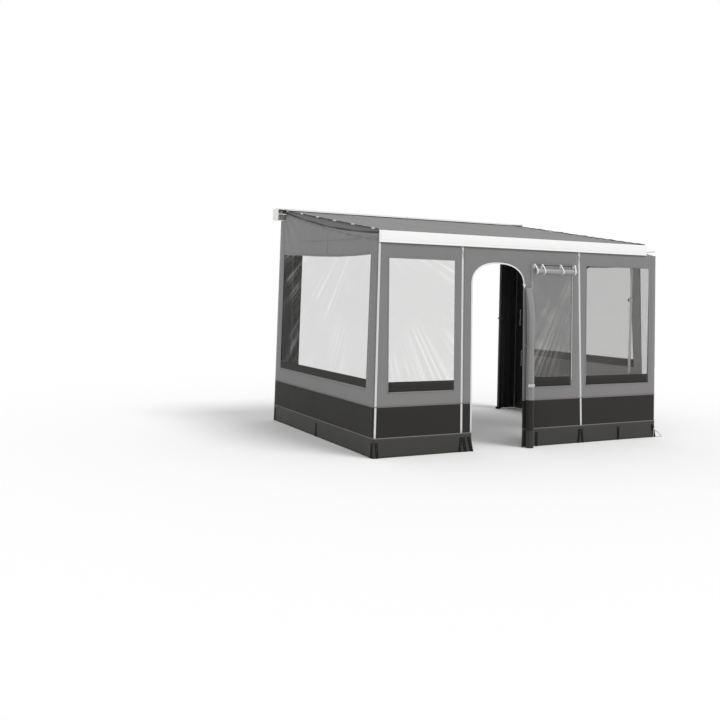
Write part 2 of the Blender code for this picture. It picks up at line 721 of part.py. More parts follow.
def build_rafter(name, body, side):
    """A tube with an eye on the cassette's pin, open at its end behind the rail."""
    hinge = Vector((RAFTER_X, RAFTER_HINGE_Y, RAFTER_HINGE_Z))
    tip_y = RAIL_REAR + RAFTER_TIP_GAP
    tip = Vector((RAFTER_X, tip_y, roof_height(tip_y) - RAFTER_TIP_DROP))
    along = (tip - hinge).normalized()
    length = (tip - hinge).length
    eye_start = hinge - Vector((RAFTER_EYE_WIDTH / 2, 0, 0))
    bore_start = eye_start - Vector((OVERRUN, 0, 0))
    tube = [(0, 0), (RAFTER_BORE, 0), (RAFTER_BORE, RAFTER_NECK)]
    tube += [(RAFTER_RADIUS, RAFTER_NECK), (RAFTER_RADIUS, length)]
    tube += [(RAFTER_BORE, length), (RAFTER_BORE, RAFTER_NECK * 2), (0, RAFTER_NECK * 2)]
    join(
        name,
        body,
        "alloy",
        [
            lambda m: lathe(m, hinge, along, tube, TUBE_SIDES),
            lambda m: rod(m, eye_start, (1, 0, 0), RAFTER_EYE + LUG_INSET, RAFTER_EYE_WIDTH + LUG_INSET,
                          TUBE_SIDES),
        ],
        side,
        [lambda m: rod(m, bore_start, (1, 0, 0), RAFTER_PIN + TOUCH, RAFTER_EYE_WIDTH + 2 * OVERRUN)],
    )


# Lead rail
def rail_profile(inset=0.0):
    """The rail's section as points (y, z): a bowed face, a flat back and a step above the lower edge."""
    front, rear = RAIL_FRONT + inset, RAIL_REAR - inset
    low, high = RAIL_BOTTOM + inset, RAIL_TOP - inset
    edge, bow = RAIL_EDGE, RAIL_EDGE / 2
    made = [(rear, low), (rear, high - edge), (rear - edge, high)]
    made += [(front + edge + bow, high), (front + bow / 2, high - edge)]
    made += [(front, high - RAIL_HEIGHT * RAIL_BOW_SHARE)]
    made += [(front + bow / 2, low + RAIL_HEIGHT * RAIL_STEP_SHARE)]
    lip = front + bow / 2 + RAIL_WALL
    made += [(lip, low + RAIL_HEIGHT * RAIL_STEP_SHARE - RAIL_WALL), (lip, low)]
    return made


def build_rail(body):
    mesh = bmesh.new()
    half = HALF_RAIL - RAIL_CAP - TOUCH
    slab(mesh, rail_profile(), [rail_profile(RAIL_WALL)[::-1]], across, -half, half)
    finish("lead_rail", mesh, body, "white")


def build_rail_cap(name, body, side):
    mesh = bmesh.new()
    near, far = sorted((side * (HALF_RAIL - RAIL_CAP), side * HALF_RAIL))
    slab(mesh, rail_profile(), [], across, near, far)
    finish(name, mesh, body, "trim")


# Placing on the leaning walls: w is depth into the awning
def front_y(z):
    return -PROJECTION - WALL_LEAN_SHARE * (RAIL_BOTTOM - z)


def front_place(x, z, w):
    return (x, front_y(z) + w, z)


def wall_x(side, z):
    """The inner face of a side wall at this height."""
    x, lean = (RIGHT_WALL_X, RIGHT_LEAN_SHARE) if side > 0 else (LEFT_WALL_X, LEFT_LEAN_SHARE)
    return side * (x + TOUCH + lean * (RAIL_TOP - z))


def side_place(side):
    """Maps (y, z, w), where w is the depth out of the awning."""
    return lambda y, z, w: (wall_x(side, z) + side * w, y, z)


def eave_low(y):
    """The height of the curved zip under the roof's edge."""
    share = (WALL_TOP_REAR - y) / (WALL_TOP_REAR + PROJECTION)
    depth = EAVE_DEPTH_REAR + (EAVE_DEPTH_FRONT - EAVE_DEPTH_REAR) * share
    return roof_height(y) - depth - EAVE_SAG * 4 * share * (1 - share)


def eave_stations(points=EAVE_POINTS):
    return [WALL_TOP_REAR + (-PROJECTION - WALL_TOP_REAR) * n / points for n in range(points + 1)]


def corner_x(side, z):
    """Where a front panel ends, just inside the side wall."""
    return wall_x(side, z) - side * TOUCH


def zip_x(side, z):
    if side < 0:
        return PANEL_ZIP_LEFT
    return PANEL_ZIP_RIGHT + PANEL_ZIP_SHIFT * (RAIL_BOTTOM - z) / RAIL_BOTTOM


def upright_edges(left, right, low, high):
    """An outline between two edges that are functions of height."""
    return [(left(low), low), (right(low), low), (right(high), high), (left(high), high)]


def window(edges, low, high, inset=0.0):
    """A window's corners in (x, z)."""
    left, right = edges
    return [(left + inset, low + inset), (right - inset, low + inset),
            (right - inset, high - inset), (left + inset, high - inset)]


def door_arch(grow=0.0):
    """The door's opening from its right shoulder over the arch to the left, as points (x, z)."""
    centre = (DOOR_LEFT + DOOR_RIGHT) / 2
    half, rise = (DOOR_RIGHT - DOOR_LEFT) / 2 + grow, DOOR_TOP - DOOR_SPRING + grow
    made = []
    for n in range(DOOR_ARCH_POINTS + 1):
        angle = math.pi * n / DOOR_ARCH_POINTS
        x, z = math.cos(angle), math.sin(angle)
        power = 2 / DOOR_ARCH_POWER
        made.append((centre + half * math.copysign(abs(x) ** power, x), DOOR_SPRING + rise * abs(z) ** power))
    return made


def upright_strip(left, low, high):
    """A raised strip of the zip's width on the outside of the front wall, from its left edge rightwards."""
    outline = upright_edges(left, lambda z: left(z) + ZIP_WIDTH, low, high)
    return lambda m: slab(m, outline, [], front_place, -ZIP_DEPTH, LUG_INSET)


def zip_edge(side):
    """The left edge of a panel zip's strip, which lies wholly on the outer panel."""
    return lambda z: zip_x(side, z) + side * (TOUCH + ZIP_WIDTH / 2) - ZIP_WIDTH / 2


def corner_edge(z):
    return corner_x(-1, z) + LUG_INSET


def ladder_builder(centre, place):
    """A rubber peg ladder on a mud wall: two rails with rungs, whose place takes (along, up, depth)."""
    pitch = (LADDER_HEIGHT - LADDER_RIM) / LADDER_HOLES
    half, inner = LADDER_WIDTH / 2, LADDER_WIDTH / 2 - LADDER_RIM
    outline = [(centre - half, LADDER_BOTTOM), (centre + half, LADDER_BOTTOM)]
    outline += [(centre + half, LADDER_HEIGHT), (centre - half, LADDER_HEIGHT)]
    holes = []
    for n in range(LADDER_HOLES):
        low = LADDER_BOTTOM + LADDER_RIM + (pitch - LADDER_BOTTOM / LADDER_HOLES) * n
        high = low + pitch - LADDER_RIM * LADDER_RUNG_SHARE
        left, right = centre - inner, centre + inner
        holes.append([(left, low), (right, low), (right, high), (left, high)])
    return lambda m: slab(m, outline, holes, place, -LADDER_DEPTH, LUG_INSET)


# Front wall
def build_front_panel(name, body, outline, hole, strips=()):
    join(name, body, "wall", [lambda m: slab(m, outline, [hole], front_place, 0, FABRIC), *strips])


def build_front_panels(body):
    base, top = BAND_TOP + TOUCH, PLANE_TOP
    outline = upright_edges(lambda z: corner_x(-1, z), lambda z: zip_x(-1, z) - TOUCH, base, top)
    strips = [upright_strip(edge, base, top) for edge in (corner_edge, zip_edge(-1))]
    hole = window(LEFT_WINDOW, WINDOW_BOTTOM, WINDOW_TOP)
    build_front_panel("front_left_panel", body, outline, hole, strips)
    outline = [(DOOR_RIGHT, base), (zip_x(1, base) - TOUCH, base), (zip_x(1, top) - TOUCH, top)]
    outline += [(zip_x(-1, top) + TOUCH, top), (zip_x(-1, base) + TOUCH, base), (DOOR_LEFT, base)]
    outline += door_arch()[::-1]
    hole = window(MIDDLE_WINDOW, WINDOW_BOTTOM, MIDDLE_WINDOW_TOP)
    build_front_panel("front_middle_panel", body, outline, hole)
    outline = upright_edges(lambda z: zip_x(1, z) + TOUCH, lambda z: corner_x(1, z), base, top)
    strips = [upright_strip(zip_edge(1), base, top)]
    hole = window(RIGHT_WINDOW, WINDOW_BOTTOM, WINDOW_TOP)
    build_front_panel("front_right_panel", body, outline, hole, strips)


def build_front_panes(body):
    panes = (("left", LEFT_WINDOW, WINDOW_TOP), ("middle", MIDDLE_WINDOW, MIDDLE_WINDOW_TOP),
             ("right", RIGHT_WINDOW, WINDOW_TOP))
    for label, edges, top in panes:
        mesh = bmesh.new()
        slab(mesh, window(edges, WINDOW_BOTTOM, top, TOUCH), [], front_place, PANE / 2, PANE * 3 / 2)
        finish("front_" + label + "_window", mesh, body, "film")


def build_front_skirts(body):
    """The dark band and mud wall under the panels, left and right of the doorway, with their ladders."""
    spread = LADDER_WIDTH * LADDER_SPREAD_SHARE
    left_zip, right_zip = zip_x(-1, 0), zip_x(1, 0)
    left_corner, right_corner = corner_x(-1, 0), corner_x(1, 0)
    outline = upright_edges(lambda z: corner_x(-1, z), lambda z: DOOR_LEFT, 0, BAND_TOP)
    ladders = [left_corner + spread, left_zip - spread / 2, left_zip + spread / 2]
    strips = [upright_strip(edge, BAND_BOTTOM, BAND_TOP) for edge in (corner_edge, zip_edge(-1))]
    places = [ladder_builder(x, front_place) for x in ladders]
    join("front_left_skirt", body, "band",
         [lambda m, o=outline: slab(m, o, [], front_place, 0, FABRIC), *strips, *places])
    outline = upright_edges(lambda z: DOOR_RIGHT, lambda z: corner_x(1, z), 0, BAND_TOP)
    ladders = [DOOR_RIGHT + 2 * DOOR_ROLL_RADIUS + spread * 3 / 2]
    ladders += [right_zip - spread / 2, right_zip + spread / 2]
    ladders += [(right_zip + right_corner) / 2, right_corner - spread]
    places = [ladder_builder(x, front_place) for x in ladders]
    join("front_right_skirt", body, "band",
         [lambda m: slab(m, outline, [], front_place, 0, FABRIC),
          upright_strip(zip_edge(1), BAND_BOTTOM, BAND_TOP), *places])


def build_door_piping(body):
    mesh = bmesh.new()
    outer, inner = door_arch(PIPING_WIDTH), door_arch()
    outline = [(DOOR_LEFT - PIPING_WIDTH, BAND_BOTTOM), (DOOR_LEFT, BAND_BOTTOM), *inner[::-1], *outer]
    slab(mesh, outline, [], front_place, -TOUCH - PIPING_DEPTH, -TOUCH)
    finish("door_piping", mesh, body, "trim")


def build_door_roll(body):
    """The door leaf rolled up sideways against its right jamb, drawn in under its tie."""
    mesh = bmesh.new()
    rings = []
    runs = ((DOOR_ROLL_BOTTOM, TIE_HEIGHT - TIE_WIDTH), (TIE_HEIGHT + TIE_WIDTH, DOOR_ROLL_TOP))
    half = DOOR_ROLL_RINGS // 2
    heights = [low + (high - low) * n / half for low, high in runs for n in range(half + 1)]
    for n, z in enumerate(heights):
        waist = math.exp(-((z - TIE_HEIGHT) / (DOOR_ROLL_RADIUS * 3)) ** 2)
        ring = []
        for k in range(DOOR_ROLL_SIDES):
            angle = math.tau * k / DOOR_ROLL_SIDES
            fold = DOOR_ROLL_FOLD_SHARE * (1 - math.cos(DOOR_ROLL_FOLDS * angle + n * DOOR_ROLL_TWIST)) / 2
            radius = DOOR_ROLL_RADIUS * (1 - fold - DOOR_ROLL_WAIST_SHARE * waist)
            x, depth = DOOR_ROLL_X + radius * math.cos(angle), radius * math.sin(angle)
            ring.append(front_place(x, z, depth - DOOR_ROLL_RADIUS - TOUCH))
        rings.append(ring)
    loft(mesh, rings)
    finish("door_roll", mesh, body, "band")


def build_door_tie(body):
    """The band with its toggle round the door roll."""
    roll_y = front_y(TIE_HEIGHT) - DOOR_ROLL_RADIUS - TOUCH
    radius = DOOR_ROLL_RADIUS * (1 - DOOR_ROLL_WAIST_SHARE * TIE_GRIP_SHARE) + TIE_THICKNESS
    bar = (DOOR_ROLL_X, roll_y - radius, TIE_HEIGHT - TIE_WIDTH)
    base = TIE_HEIGHT - TIE_WIDTH / 2
    join(
        "door_tie",
        body,
        "trim",
        [
            lambda m: pipe(m, (DOOR_ROLL_X, roll_y, base), (0, 0, 1), radius, TIE_THICKNESS - TOUCH,
                           TIE_WIDTH, DOOR_ROLL_SIDES),
            lambda m: rod(m, bar, (0, 0, 1), TIE_THICKNESS * 2, TIE_WIDTH * 2, BLIND_SIDES),
        ],
    )


def build_blind(body):
    """The window blind rolled up above the middle window in its strap loops."""
    y = front_y(BLIND_HEIGHT) - BLIND_RADIUS - 2 * TOUCH - TIE_THICKNESS
    first = BLIND_LEFT + BLIND_STRAP_INSET
    span = BLIND_RIGHT - BLIND_STRAP_INSET - first

    def strap(n):
        x = first + span * n / (BLIND_STRAPS - 1) - TIE_WIDTH / 2
        return lambda m: rod(m, (x, y, BLIND_HEIGHT), (1, 0, 0), BLIND_RADIUS + TIE_THICKNESS, TIE_WIDTH,
                             BLIND_SIDES)

    join(
        "blind_roll",
        body,
        "trim",
        [
            lambda m: rod(m, (BLIND_LEFT, y, BLIND_HEIGHT), (1, 0, 0), BLIND_RADIUS, BLIND_RIGHT - BLIND_LEFT,
                          BLIND_SIDES),
            *(strap(n) for n in range(BLIND_STRAPS)),
        ],
    )


def build_slider(name, body, side):
    """A zip slider with its pull tab, on the outside of a panel zip."""
    back = -TOUCH - ZIP_DEPTH
    x = zip_edge(side)(SLIDER_TOP) + ZIP_WIDTH / 2
    block = round_box((x - SLIDER_WIDTH / 2, SLIDER_TOP - SLIDER_HEIGHT / 2),
                      (x + SLIDER_WIDTH / 2, SLIDER_TOP + SLIDER_HEIGHT / 2), SLIDER_WIDTH / 4, 3)
    tab = round_box((x - PULL_WIDTH / 2, SLIDER_TOP - PULL_LENGTH),
                    (x + PULL_WIDTH / 2, SLIDER_TOP), PULL_WIDTH / 3, 2)
    front = back - SLIDER_DEPTH
    join(
        name,
        body,
        "steel",
        [
            lambda m: slab(m, block, [], front_place, front, back),
            lambda m: slab(m, tab, [], front_place, front - PULL_DEPTH, front + PULL_DEPTH),
        ],
    )


# Side walls
def build_side_wall(side, label, body):
    place = side_place(side)
    rear = CARAVAN_PLANE - TOUCH
    base = BAND_TOP + TOUCH
    curve = [(y, eave_low(y) - TOUCH) for y in eave_stations()]
    outline = [(front_y(base), base), (rear, base), (rear, NOTCH_HEIGHT), (WALL_TOP_REAR, NOTCH_HEIGHT)]
    outline += curve
    hole = [(SIDE_WINDOW_FRONT, SIDE_WINDOW_BOTTOM), (SIDE_WINDOW_REAR, SIDE_WINDOW_BOTTOM),
            (SIDE_WINDOW_REAR, SIDE_WINDOW_TOP_REAR), (SIDE_WINDOW_FRONT, SIDE_WINDOW_TOP_FRONT)]
    mesh = bmesh.new()
    slab(mesh, outline, [hole], place, 0, FABRIC)
    finish(label + "_side_wall", mesh, body, "wall")
    low, high = SIDE_WINDOW_BOTTOM + TOUCH, -TOUCH
    pane = [(SIDE_WINDOW_FRONT + TOUCH, low), (SIDE_WINDOW_REAR - TOUCH, low),
            (SIDE_WINDOW_REAR - TOUCH, SIDE_WINDOW_TOP_REAR + high),
            (SIDE_WINDOW_FRONT + TOUCH, SIDE_WINDOW_TOP_FRONT + high)]
    mesh = bmesh.new()
    slab(mesh, pane, [], place, PANE / 2, PANE * 3 / 2)
    finish(label + "_side_window", mesh, body, "film")
    skirt = [(front_y(0), 0), (rear, 0), (rear, BAND_TOP), (front_y(BAND_TOP), BAND_TOP)]
    spread = LADDER_WIDTH * LADDER_SPREAD_SHARE
    ladders = [ladder_builder(y, lambda u, v, w: place(u, v, FABRIC - w))
               for y in (rear - spread, (rear - PROJECTION) / 2, front_y(0) + spread)]
    join(label + "_side_skirt", body, "band", [lambda m: slab(m, skirt, [], place, 0, FABRIC), *ladders])


def build_eave_strip(side, label, body):
    """The strip between the roof's edge and the curved zip of the side wall."""
    mesh = bmesh.new()
    rings = []
    under = FABRIC + 2 * TOUCH
    for y in eave_stations():
        low = eave_low(y) + TOUCH
        high = roof_height(y) - under
        if side < 0:
            rings.append([(wall_x(side, z) + side * w, y, z) for z, w in
                          ((low, 0), (low, FABRIC), (high, FABRIC), (high, 0))])
        else:
            outer = wall_x(side, low)
            inner = HALF_RAIL + TOUCH
            rings.append([(outer + FABRIC, y, low), (outer, y, low), (inner, y, high - FABRIC),
                          (inner, y, high)])
    loft(mesh, rings)
    bmesh.ops.triangulate(mesh, faces=mesh.faces[:])
    finish(label + "_eave_strip", mesh, body, "wall")


def build_rear_flap(side, label, body):
    """The black flap that seals the side wall to the caravan, in soft upright folds that open downwards."""
    mesh = bmesh.new()
    rings = []
    for z in (FLAP_BOTTOM, (FLAP_BOTTOM + NOTCH_HEIGHT) / 3, NOTCH_HEIGHT - LADDER_BOTTOM):
        drop = 1 - z / NOTCH_HEIGHT
        outer = corner_x(side, z)
        front, back = [], []
        for n in range(FLAP_COLUMNS + 1):
            share = n / FLAP_COLUMNS
            x = outer - side * FLAP_WIDTH * (1 - share)
            wave = FLAP_FOLD * drop * math.sin(math.tau * FLAP_FOLDS * share)
            front.append((x, FLAP_FRONT + wave, z))
            back.append((x, FLAP_FRONT + wave + FLAP_THICKNESS, z))
        rings.append(front + back[::-1])
    loft(mesh, rings)
    finish(label + "_rear_flap", mesh, body, "band")


# Uprights under the cassette
def build_upright(label, lower_body, upper_body, side):
    x, outer, inner = side * UPRIGHT_X, UPRIGHT_OUTER_RADIUS, UPRIGHT_INNER_RADIUS
    bore = inner + TOUCH
    mesh = bmesh.new()
    profile = [(0, 0), (UPRIGHT_FOOT_RADIUS, 0), (UPRIGHT_FOOT_RADIUS, UPRIGHT_FOOT_HEIGHT / 2),
               (outer + UPRIGHT_FOOT_HEIGHT / 2, UPRIGHT_FOOT_HEIGHT), (outer, UPRIGHT_FOOT_HEIGHT * 2),
               (outer, UPRIGHT_SPLIT), (bore, UPRIGHT_SPLIT), (bore, UPRIGHT_FOOT_HEIGHT * 2),
               (0, UPRIGHT_FOOT_HEIGHT * 2)]
    lathe(mesh, (x, UPRIGHT_Y, 0), (0, 0, 1), profile, TUBE_SIDES)
    finish(label + "_upright_lower", mesh, lower_body, "alloy")
    top = HOUSING_BOTTOM - UPRIGHT_TOP_GAP
    start = UPRIGHT_SPLIT - UPRIGHT_OVERLAP
    head = top - UPRIGHT_HEAD_HEIGHT - start
    profile = [(0, 0), (inner, 0), (inner, head), (UPRIGHT_HEAD_RADIUS, head),
               (UPRIGHT_HEAD_RADIUS, top - start), (0, top - start)]
    mesh = bmesh.new()
    lathe(mesh, (x, UPRIGHT_Y, start), (0, 0, 1), profile, TUBE_SIDES)
    finish(label + "_upright_upper", mesh, upper_body, "alloy")


# Legs under the lead rail
def leg_y(side):
    return LEG_PLANE if side < 0 else LEG_PLANE + LEG_PLANE_GAP


LEG_PIVOT_Z = RAIL_BOTTOM - LEG_PIVOT_DROP


def build_leg_hinge(name, body, side):
    """A plate under the rail with two ears and the leg's pin."""
    y, half = leg_y(side), LEG_EYE_WIDTH / 2 + TOUCH
    top = RAIL_BOTTOM - TOUCH
    reach = half + LEG_FORK_THICKNESS
    grip = min(y - reach, RAIL_REAR - RAIL_DEPTH / 2)
    plate = ((LEG_X - LEG_FORK_WIDTH, grip, top - LEG_FORK_BASE), (LEG_X + LEG_FORK_WIDTH, y + reach, top))
    centre = (LEG_X, LEG_PIVOT_Z)
    width = LEG_EYE_RADIUS
    outline = arc(centre, width, 180, 360, 10)
    outline += [(LEG_X + width, top - LUG_INSET), (LEG_X - width, top - LUG_INSET)]

    def ear_place(u, v, w):
        return (u, y + w, v)

    join(
        name,
        body,
        "alloy",
        [
            lambda m: brick(m, *plate),
            lambda m: slab(m, outline, [], ear_place, half, reach),
            lambda m: slab(m, outline, [], ear_place, -reach, -half),
            lambda m: rod(m, (LEG_X, y - reach, LEG_PIVOT_Z), (0, 1, 0), LEG_PIN_RADIUS, 2 * reach),
        ],
        side,
    )


def build_leg(label, upper_body, lower_body, foot_body, knob_body, side):
    y = leg_y(side)
    pivot = Vector((LEG_X, y, LEG_PIVOT_Z))
    eye_end = LEG_PIVOT_Z - LEG_EYE_RADIUS * 2
    sole = FOOT_PIVOT + FOOT_EYE_RADIUS + FOOT_LUG
    up, inwards = (0, 0, 1), (0, 1, 0)
    bore = LEG_INNER_RADIUS + TOUCH
    shoulder = LEG_PIVOT_Z - LEG_EYE_RADIUS - LUG_INSET
    neck = LEG_EYE_WIDTH / 2
    hollow, top = LEG_INNER_RADIUS - LEG_INNER_WALL, shoulder - LEG_INNER_END
    inner_tube = [(hollow, 0), (LEG_INNER_RADIUS, 0), (LEG_INNER_RADIUS, top), (0, top),
                  (0, eye_end - LEG_INNER_END), (hollow, eye_end - LEG_INNER_END)]
    join(
        label + "_leg_upper",
        upper_body,
        "alloy",
        [
            lambda m: lathe(m, (LEG_X, y, LEG_INNER_END), up, inner_tube, TUBE_SIDES),
            lambda m: brick(m, (LEG_X - neck, y - neck, shoulder - neck),
                            (LEG_X + neck, y + neck, LEG_PIVOT_Z)),
            lambda m: rod(m, pivot - Vector((0, LEG_EYE_WIDTH / 2, 0)), inwards, LEG_EYE_RADIUS - LUG_INSET,
                          LEG_EYE_WIDTH),
        ],
        side,
        [lambda m: rod(m, pivot - Vector((0, LEG_EYE_WIDTH, 0)), inwards, LEG_PIN_RADIUS + TOUCH,
                       LEG_EYE_WIDTH * 2)],
    )
    travel_floor = LEG_INNER_END - LEG_TRAVEL - OVERRUN
    ankle = FOOT_EYE_RADIUS * FOOT_ANKLE_SHARE
    join(
        label + "_leg_lower",
        lower_body,
        "alloy",
        [
            lambda m: rod(m, (LEG_X, y, sole), up, LEG_OUTER_RADIUS, LEG_CLAMP_HEIGHT - sole),
            lambda m: rod(m, (LEG_X, y, LEG_CLAMP_HEIGHT - COLLAR_HEIGHT / 2), up, COLLAR_RADIUS,
                          COLLAR_HEIGHT),
            lambda m: rod(m, (LEG_X, y - FOOT_EYE_WIDTH / 2, FOOT_PIVOT), inwards, FOOT_EYE_RADIUS,
                          FOOT_EYE_WIDTH),
            lambda m: brick(m, (LEG_X - ankle, y - FOOT_EYE_WIDTH / 2, FOOT_PIVOT),
                            (LEG_X + ankle, y + FOOT_EYE_WIDTH / 2, sole + LUG_INSET)),
        ],
        side,
        [
            lambda m: rod(m, (LEG_X, y, travel_floor), up, bore,
                          LEG_CLAMP_HEIGHT + COLLAR_HEIGHT - travel_floor),
            lambda m: rod(m, (LEG_X, y - FOOT_EYE_WIDTH, FOOT_PIVOT), inwards, LEG_PIN_RADIUS + TOUCH,
                          FOOT_EYE_WIDTH * 2),
        ],
    )
    near, far = FOOT_EYE_WIDTH / 2 + TOUCH, FOOT_EYE_WIDTH / 2 + TOUCH + FOOT_LUG
    lug = [*arc((LEG_X, FOOT_PIVOT), FOOT_EYE_RADIUS, 0, 180, 8),
           (LEG_X - FOOT_LUG_WIDTH, FOOT_PLATE - LUG_INSET), (LEG_X + FOOT_LUG_WIDTH, FOOT_PLATE - LUG_INSET)]
    sole_outline = round_box((LEG_X - FOOT_LENGTH / 2, y - FOOT_WIDTH / 2),
                             (LEG_X + FOOT_LENGTH / 2, y + FOOT_WIDTH / 2), FOOT_WIDTH / 4, 3)

    def lug_place(u, v, w):
        return (u, y + w, v)

    join(
        label + "_leg_foot",
        foot_body,
        "plastic",
        [
            lambda m: slab(m, sole_outline, [], lambda u, v, w: (u, v, w), 0, FOOT_PLATE),
            lambda m: slab(m, lug, [], lug_place, near, far),
            lambda m: slab(m, lug, [], lug_place, -far, -near),
            lambda m: rod(m, (LEG_X, y - far, FOOT_PIVOT), inwards, LEG_PIN_RADIUS, 2 * far),
        ],
        side,
    )
    base = y + COLLAR_RADIUS + TOUCH
    mesh = bmesh.new()
    rings = []
    for depth, grow in KNOB_SECTION_SHARES:
        ring = []
        for k in range(KNOB_SIDES):
            angle = math.tau * k / KNOB_SIDES
            radius = KNOB_RADIUS * grow * (1 - KNOB_LOBE_SHARE * (1 - math.cos(KNOB_LOBES * angle)) / 2)
            ring.append((side * LEG_X + radius * math.cos(angle), base + KNOB_LENGTH * depth,
                         LEG_CLAMP_HEIGHT + radius * math.sin(angle)))
        rings.append(ring)
    loft(mesh, rings)
    finish(label + "_leg_knob", mesh, knob_body, "plastic")


def build_guy(body):
    """The wire hook that pegs the right front corner out, hanging in the last ladder."""
    mesh = bmesh.new()
    y = front_y(0) - LADDER_DEPTH - GUY_ROD - TOUCH
    left, thick = corner_x(1, 0) - ZIP_WIDTH, 2 * GUY_ROD
    right, top = left + GUY_SPREAD, GUY_HEIGHT
    outline = [(left, 0), (right, 0), (right, thick), (left + thick, top), (left, top)]
    hole = [(left + thick, thick), (right - 2 * thick, thick), (left + thick, top - 2 * thick)]
    slab(mesh, outline, [hole], lambda u, v, w: (u, y + w, v), -GUY_ROD, GUY_ROD)
    finish("corner_guy_hook", mesh, body, "alloy")


# Assembly
def main():
    for old in list(bpy.data.objects):
        bpy.data.objects.remove(old)
    awning = Body("awning", (0, 0, 0))
    build_housing(awning)
    build_wall_rail(awning)
    roller = Body("roller_axis", (0, ROLLER_Y, ROLLER_Z), awning)
    build_roller(roller)
    winch = Body("winch_axis", (WINCH_X, ROLLER_Y, HOUSING_BOTTOM), awning)
    build_winch(awning, winch)
    build_canopy(awning)
    rail = Body("rail_axis", (-SHOULDER_X, WRIST_Y, arm_place(0, ARM_REACH, 0).z), awning)
    build_rail(rail)
    for side, label in ((-1, "left"), (1, "right")):
        build_end_cap(label + "_end_cap", awning, side)
        build_arm_seat(label + "_arm_shoulder", awning, side, False)
        build_arm_seat(label + "_arm_wrist", rail, side, True)
        build_rail_cap(label + "_rail_cap", rail, side)
        shoulder = Body(label + "_shoulder_axis", arm_place(side * SHOULDER_X, 0, 0), awning)
        build_upper_arm(label + "_upper_arm", shoulder, side)
        elbow = Body(label + "_elbow_axis", arm_place(side * ELBOW[0], ELBOW[1], 0), shoulder)
        build_forearm(label + "_forearm", elbow, side)
        rafter = Body(label + "_rafter_axis", (side * RAFTER_X, RAFTER_HINGE_Y, RAFTER_HINGE_Z), awning)
        build_rafter(label + "_rafter", rafter, side)
        build_side_wall(side, label, awning)
        build_eave_strip(side, label, awning)
        build_rear_flap(side, label, awning)
        upright = Body(label + "_upright_axis", (side * UPRIGHT_X, UPRIGHT_Y, UPRIGHT_SPLIT), awning)
        build_upright(label, awning, upright, side)
        slider = Body(label + "_slider_axis", front_place(zip_x(side, SLIDER_TOP), SLIDER_TOP, 0), rail)
        build_slider(label + "_zip_slider", slider, side)
        leg = Body(label + "_leg_axis", (side * LEG_X, leg_y(side), LEG_PIVOT_Z), rail)
        lower = Body(label + "_leg_lower_axis", (side * LEG_X, leg_y(side), LEG_CLAMP_HEIGHT), leg)
        foot = Body(label + "_foot_axis", (side * LEG_X, leg_y(side), FOOT_PIVOT), lower)
        knob = Body(label + "_knob_axis", (side * LEG_X, leg_y(side), LEG_CLAMP_HEIGHT), lower)
        build_leg_hinge(label + "_leg_hinge", rail, side)
        build_leg(label, leg, lower, foot, knob, side)
    build_front_panels(rail)
    build_front_panes(rail)
    build_front_skirts(rail)
    build_door_piping(rail)
    build_door_roll(rail)
    build_door_tie(rail)
    build_blind(rail)
    build_guy(rail)
    centre_on_ground(awning.empty)


def centre_on_ground(empty):
    """Moves the whole awning so that its box stands on Z = 0 with the origin under its middle."""
    bpy.context.view_layer.update()
    corners = [
        made.matrix_world @ vertex.co
        for made in bpy.data.objects if made.type == "MESH"
        for vertex in made.data.vertices
    ]
    low = [min(corner[axis] for corner in corners) for axis in range(3)]
    high = [max(corner[axis] for corner in corners) for axis in range(3)]
    empty.location = (-(low[0] + high[0]) / 2, -(low[1] + high[1]) / 2, -low[2])
    print("awning", [round(b - a, 4) for a, b in zip(low, high)])
    print("moved", [round(v, 6) for v in empty.location])


main()
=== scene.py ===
# %% [markdown]
# # Caravan awning
# A roll-out roof on two folding spring arms carries a front wall, and two side walls close its ends.
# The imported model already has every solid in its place. This script dresses it: cloth, film, zips,
# seams, finishes, floor, light and camera. It starts by loading that model, and it keeps its box.

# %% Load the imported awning
import json
import math
import random

import bmesh
import bpy
import numpy as np
from mathutils import Matrix, Vector
from mathutils.geometry import delaunay_2d_cdt

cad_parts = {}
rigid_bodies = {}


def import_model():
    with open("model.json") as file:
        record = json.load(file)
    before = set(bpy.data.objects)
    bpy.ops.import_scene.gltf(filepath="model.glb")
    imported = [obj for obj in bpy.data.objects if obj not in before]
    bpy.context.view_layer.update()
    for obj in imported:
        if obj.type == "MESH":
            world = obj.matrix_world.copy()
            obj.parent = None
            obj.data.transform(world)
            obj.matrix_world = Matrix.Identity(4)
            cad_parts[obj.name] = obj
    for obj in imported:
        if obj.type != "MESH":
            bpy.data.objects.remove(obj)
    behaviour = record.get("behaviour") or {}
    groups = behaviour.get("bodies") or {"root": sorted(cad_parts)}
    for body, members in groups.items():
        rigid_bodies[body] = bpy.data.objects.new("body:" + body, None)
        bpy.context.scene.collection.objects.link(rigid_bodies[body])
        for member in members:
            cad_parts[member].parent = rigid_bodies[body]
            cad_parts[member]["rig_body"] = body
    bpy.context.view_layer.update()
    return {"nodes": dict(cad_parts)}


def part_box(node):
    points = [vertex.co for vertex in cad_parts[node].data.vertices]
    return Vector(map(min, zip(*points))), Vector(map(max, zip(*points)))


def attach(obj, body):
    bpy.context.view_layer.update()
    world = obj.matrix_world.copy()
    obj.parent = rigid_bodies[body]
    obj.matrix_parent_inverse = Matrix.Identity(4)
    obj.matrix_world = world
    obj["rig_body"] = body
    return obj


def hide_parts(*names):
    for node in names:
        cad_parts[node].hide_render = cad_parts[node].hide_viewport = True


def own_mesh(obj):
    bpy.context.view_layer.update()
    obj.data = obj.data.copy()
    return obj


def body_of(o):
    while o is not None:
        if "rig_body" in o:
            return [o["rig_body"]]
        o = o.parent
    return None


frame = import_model()
NODES = frame["nodes"]

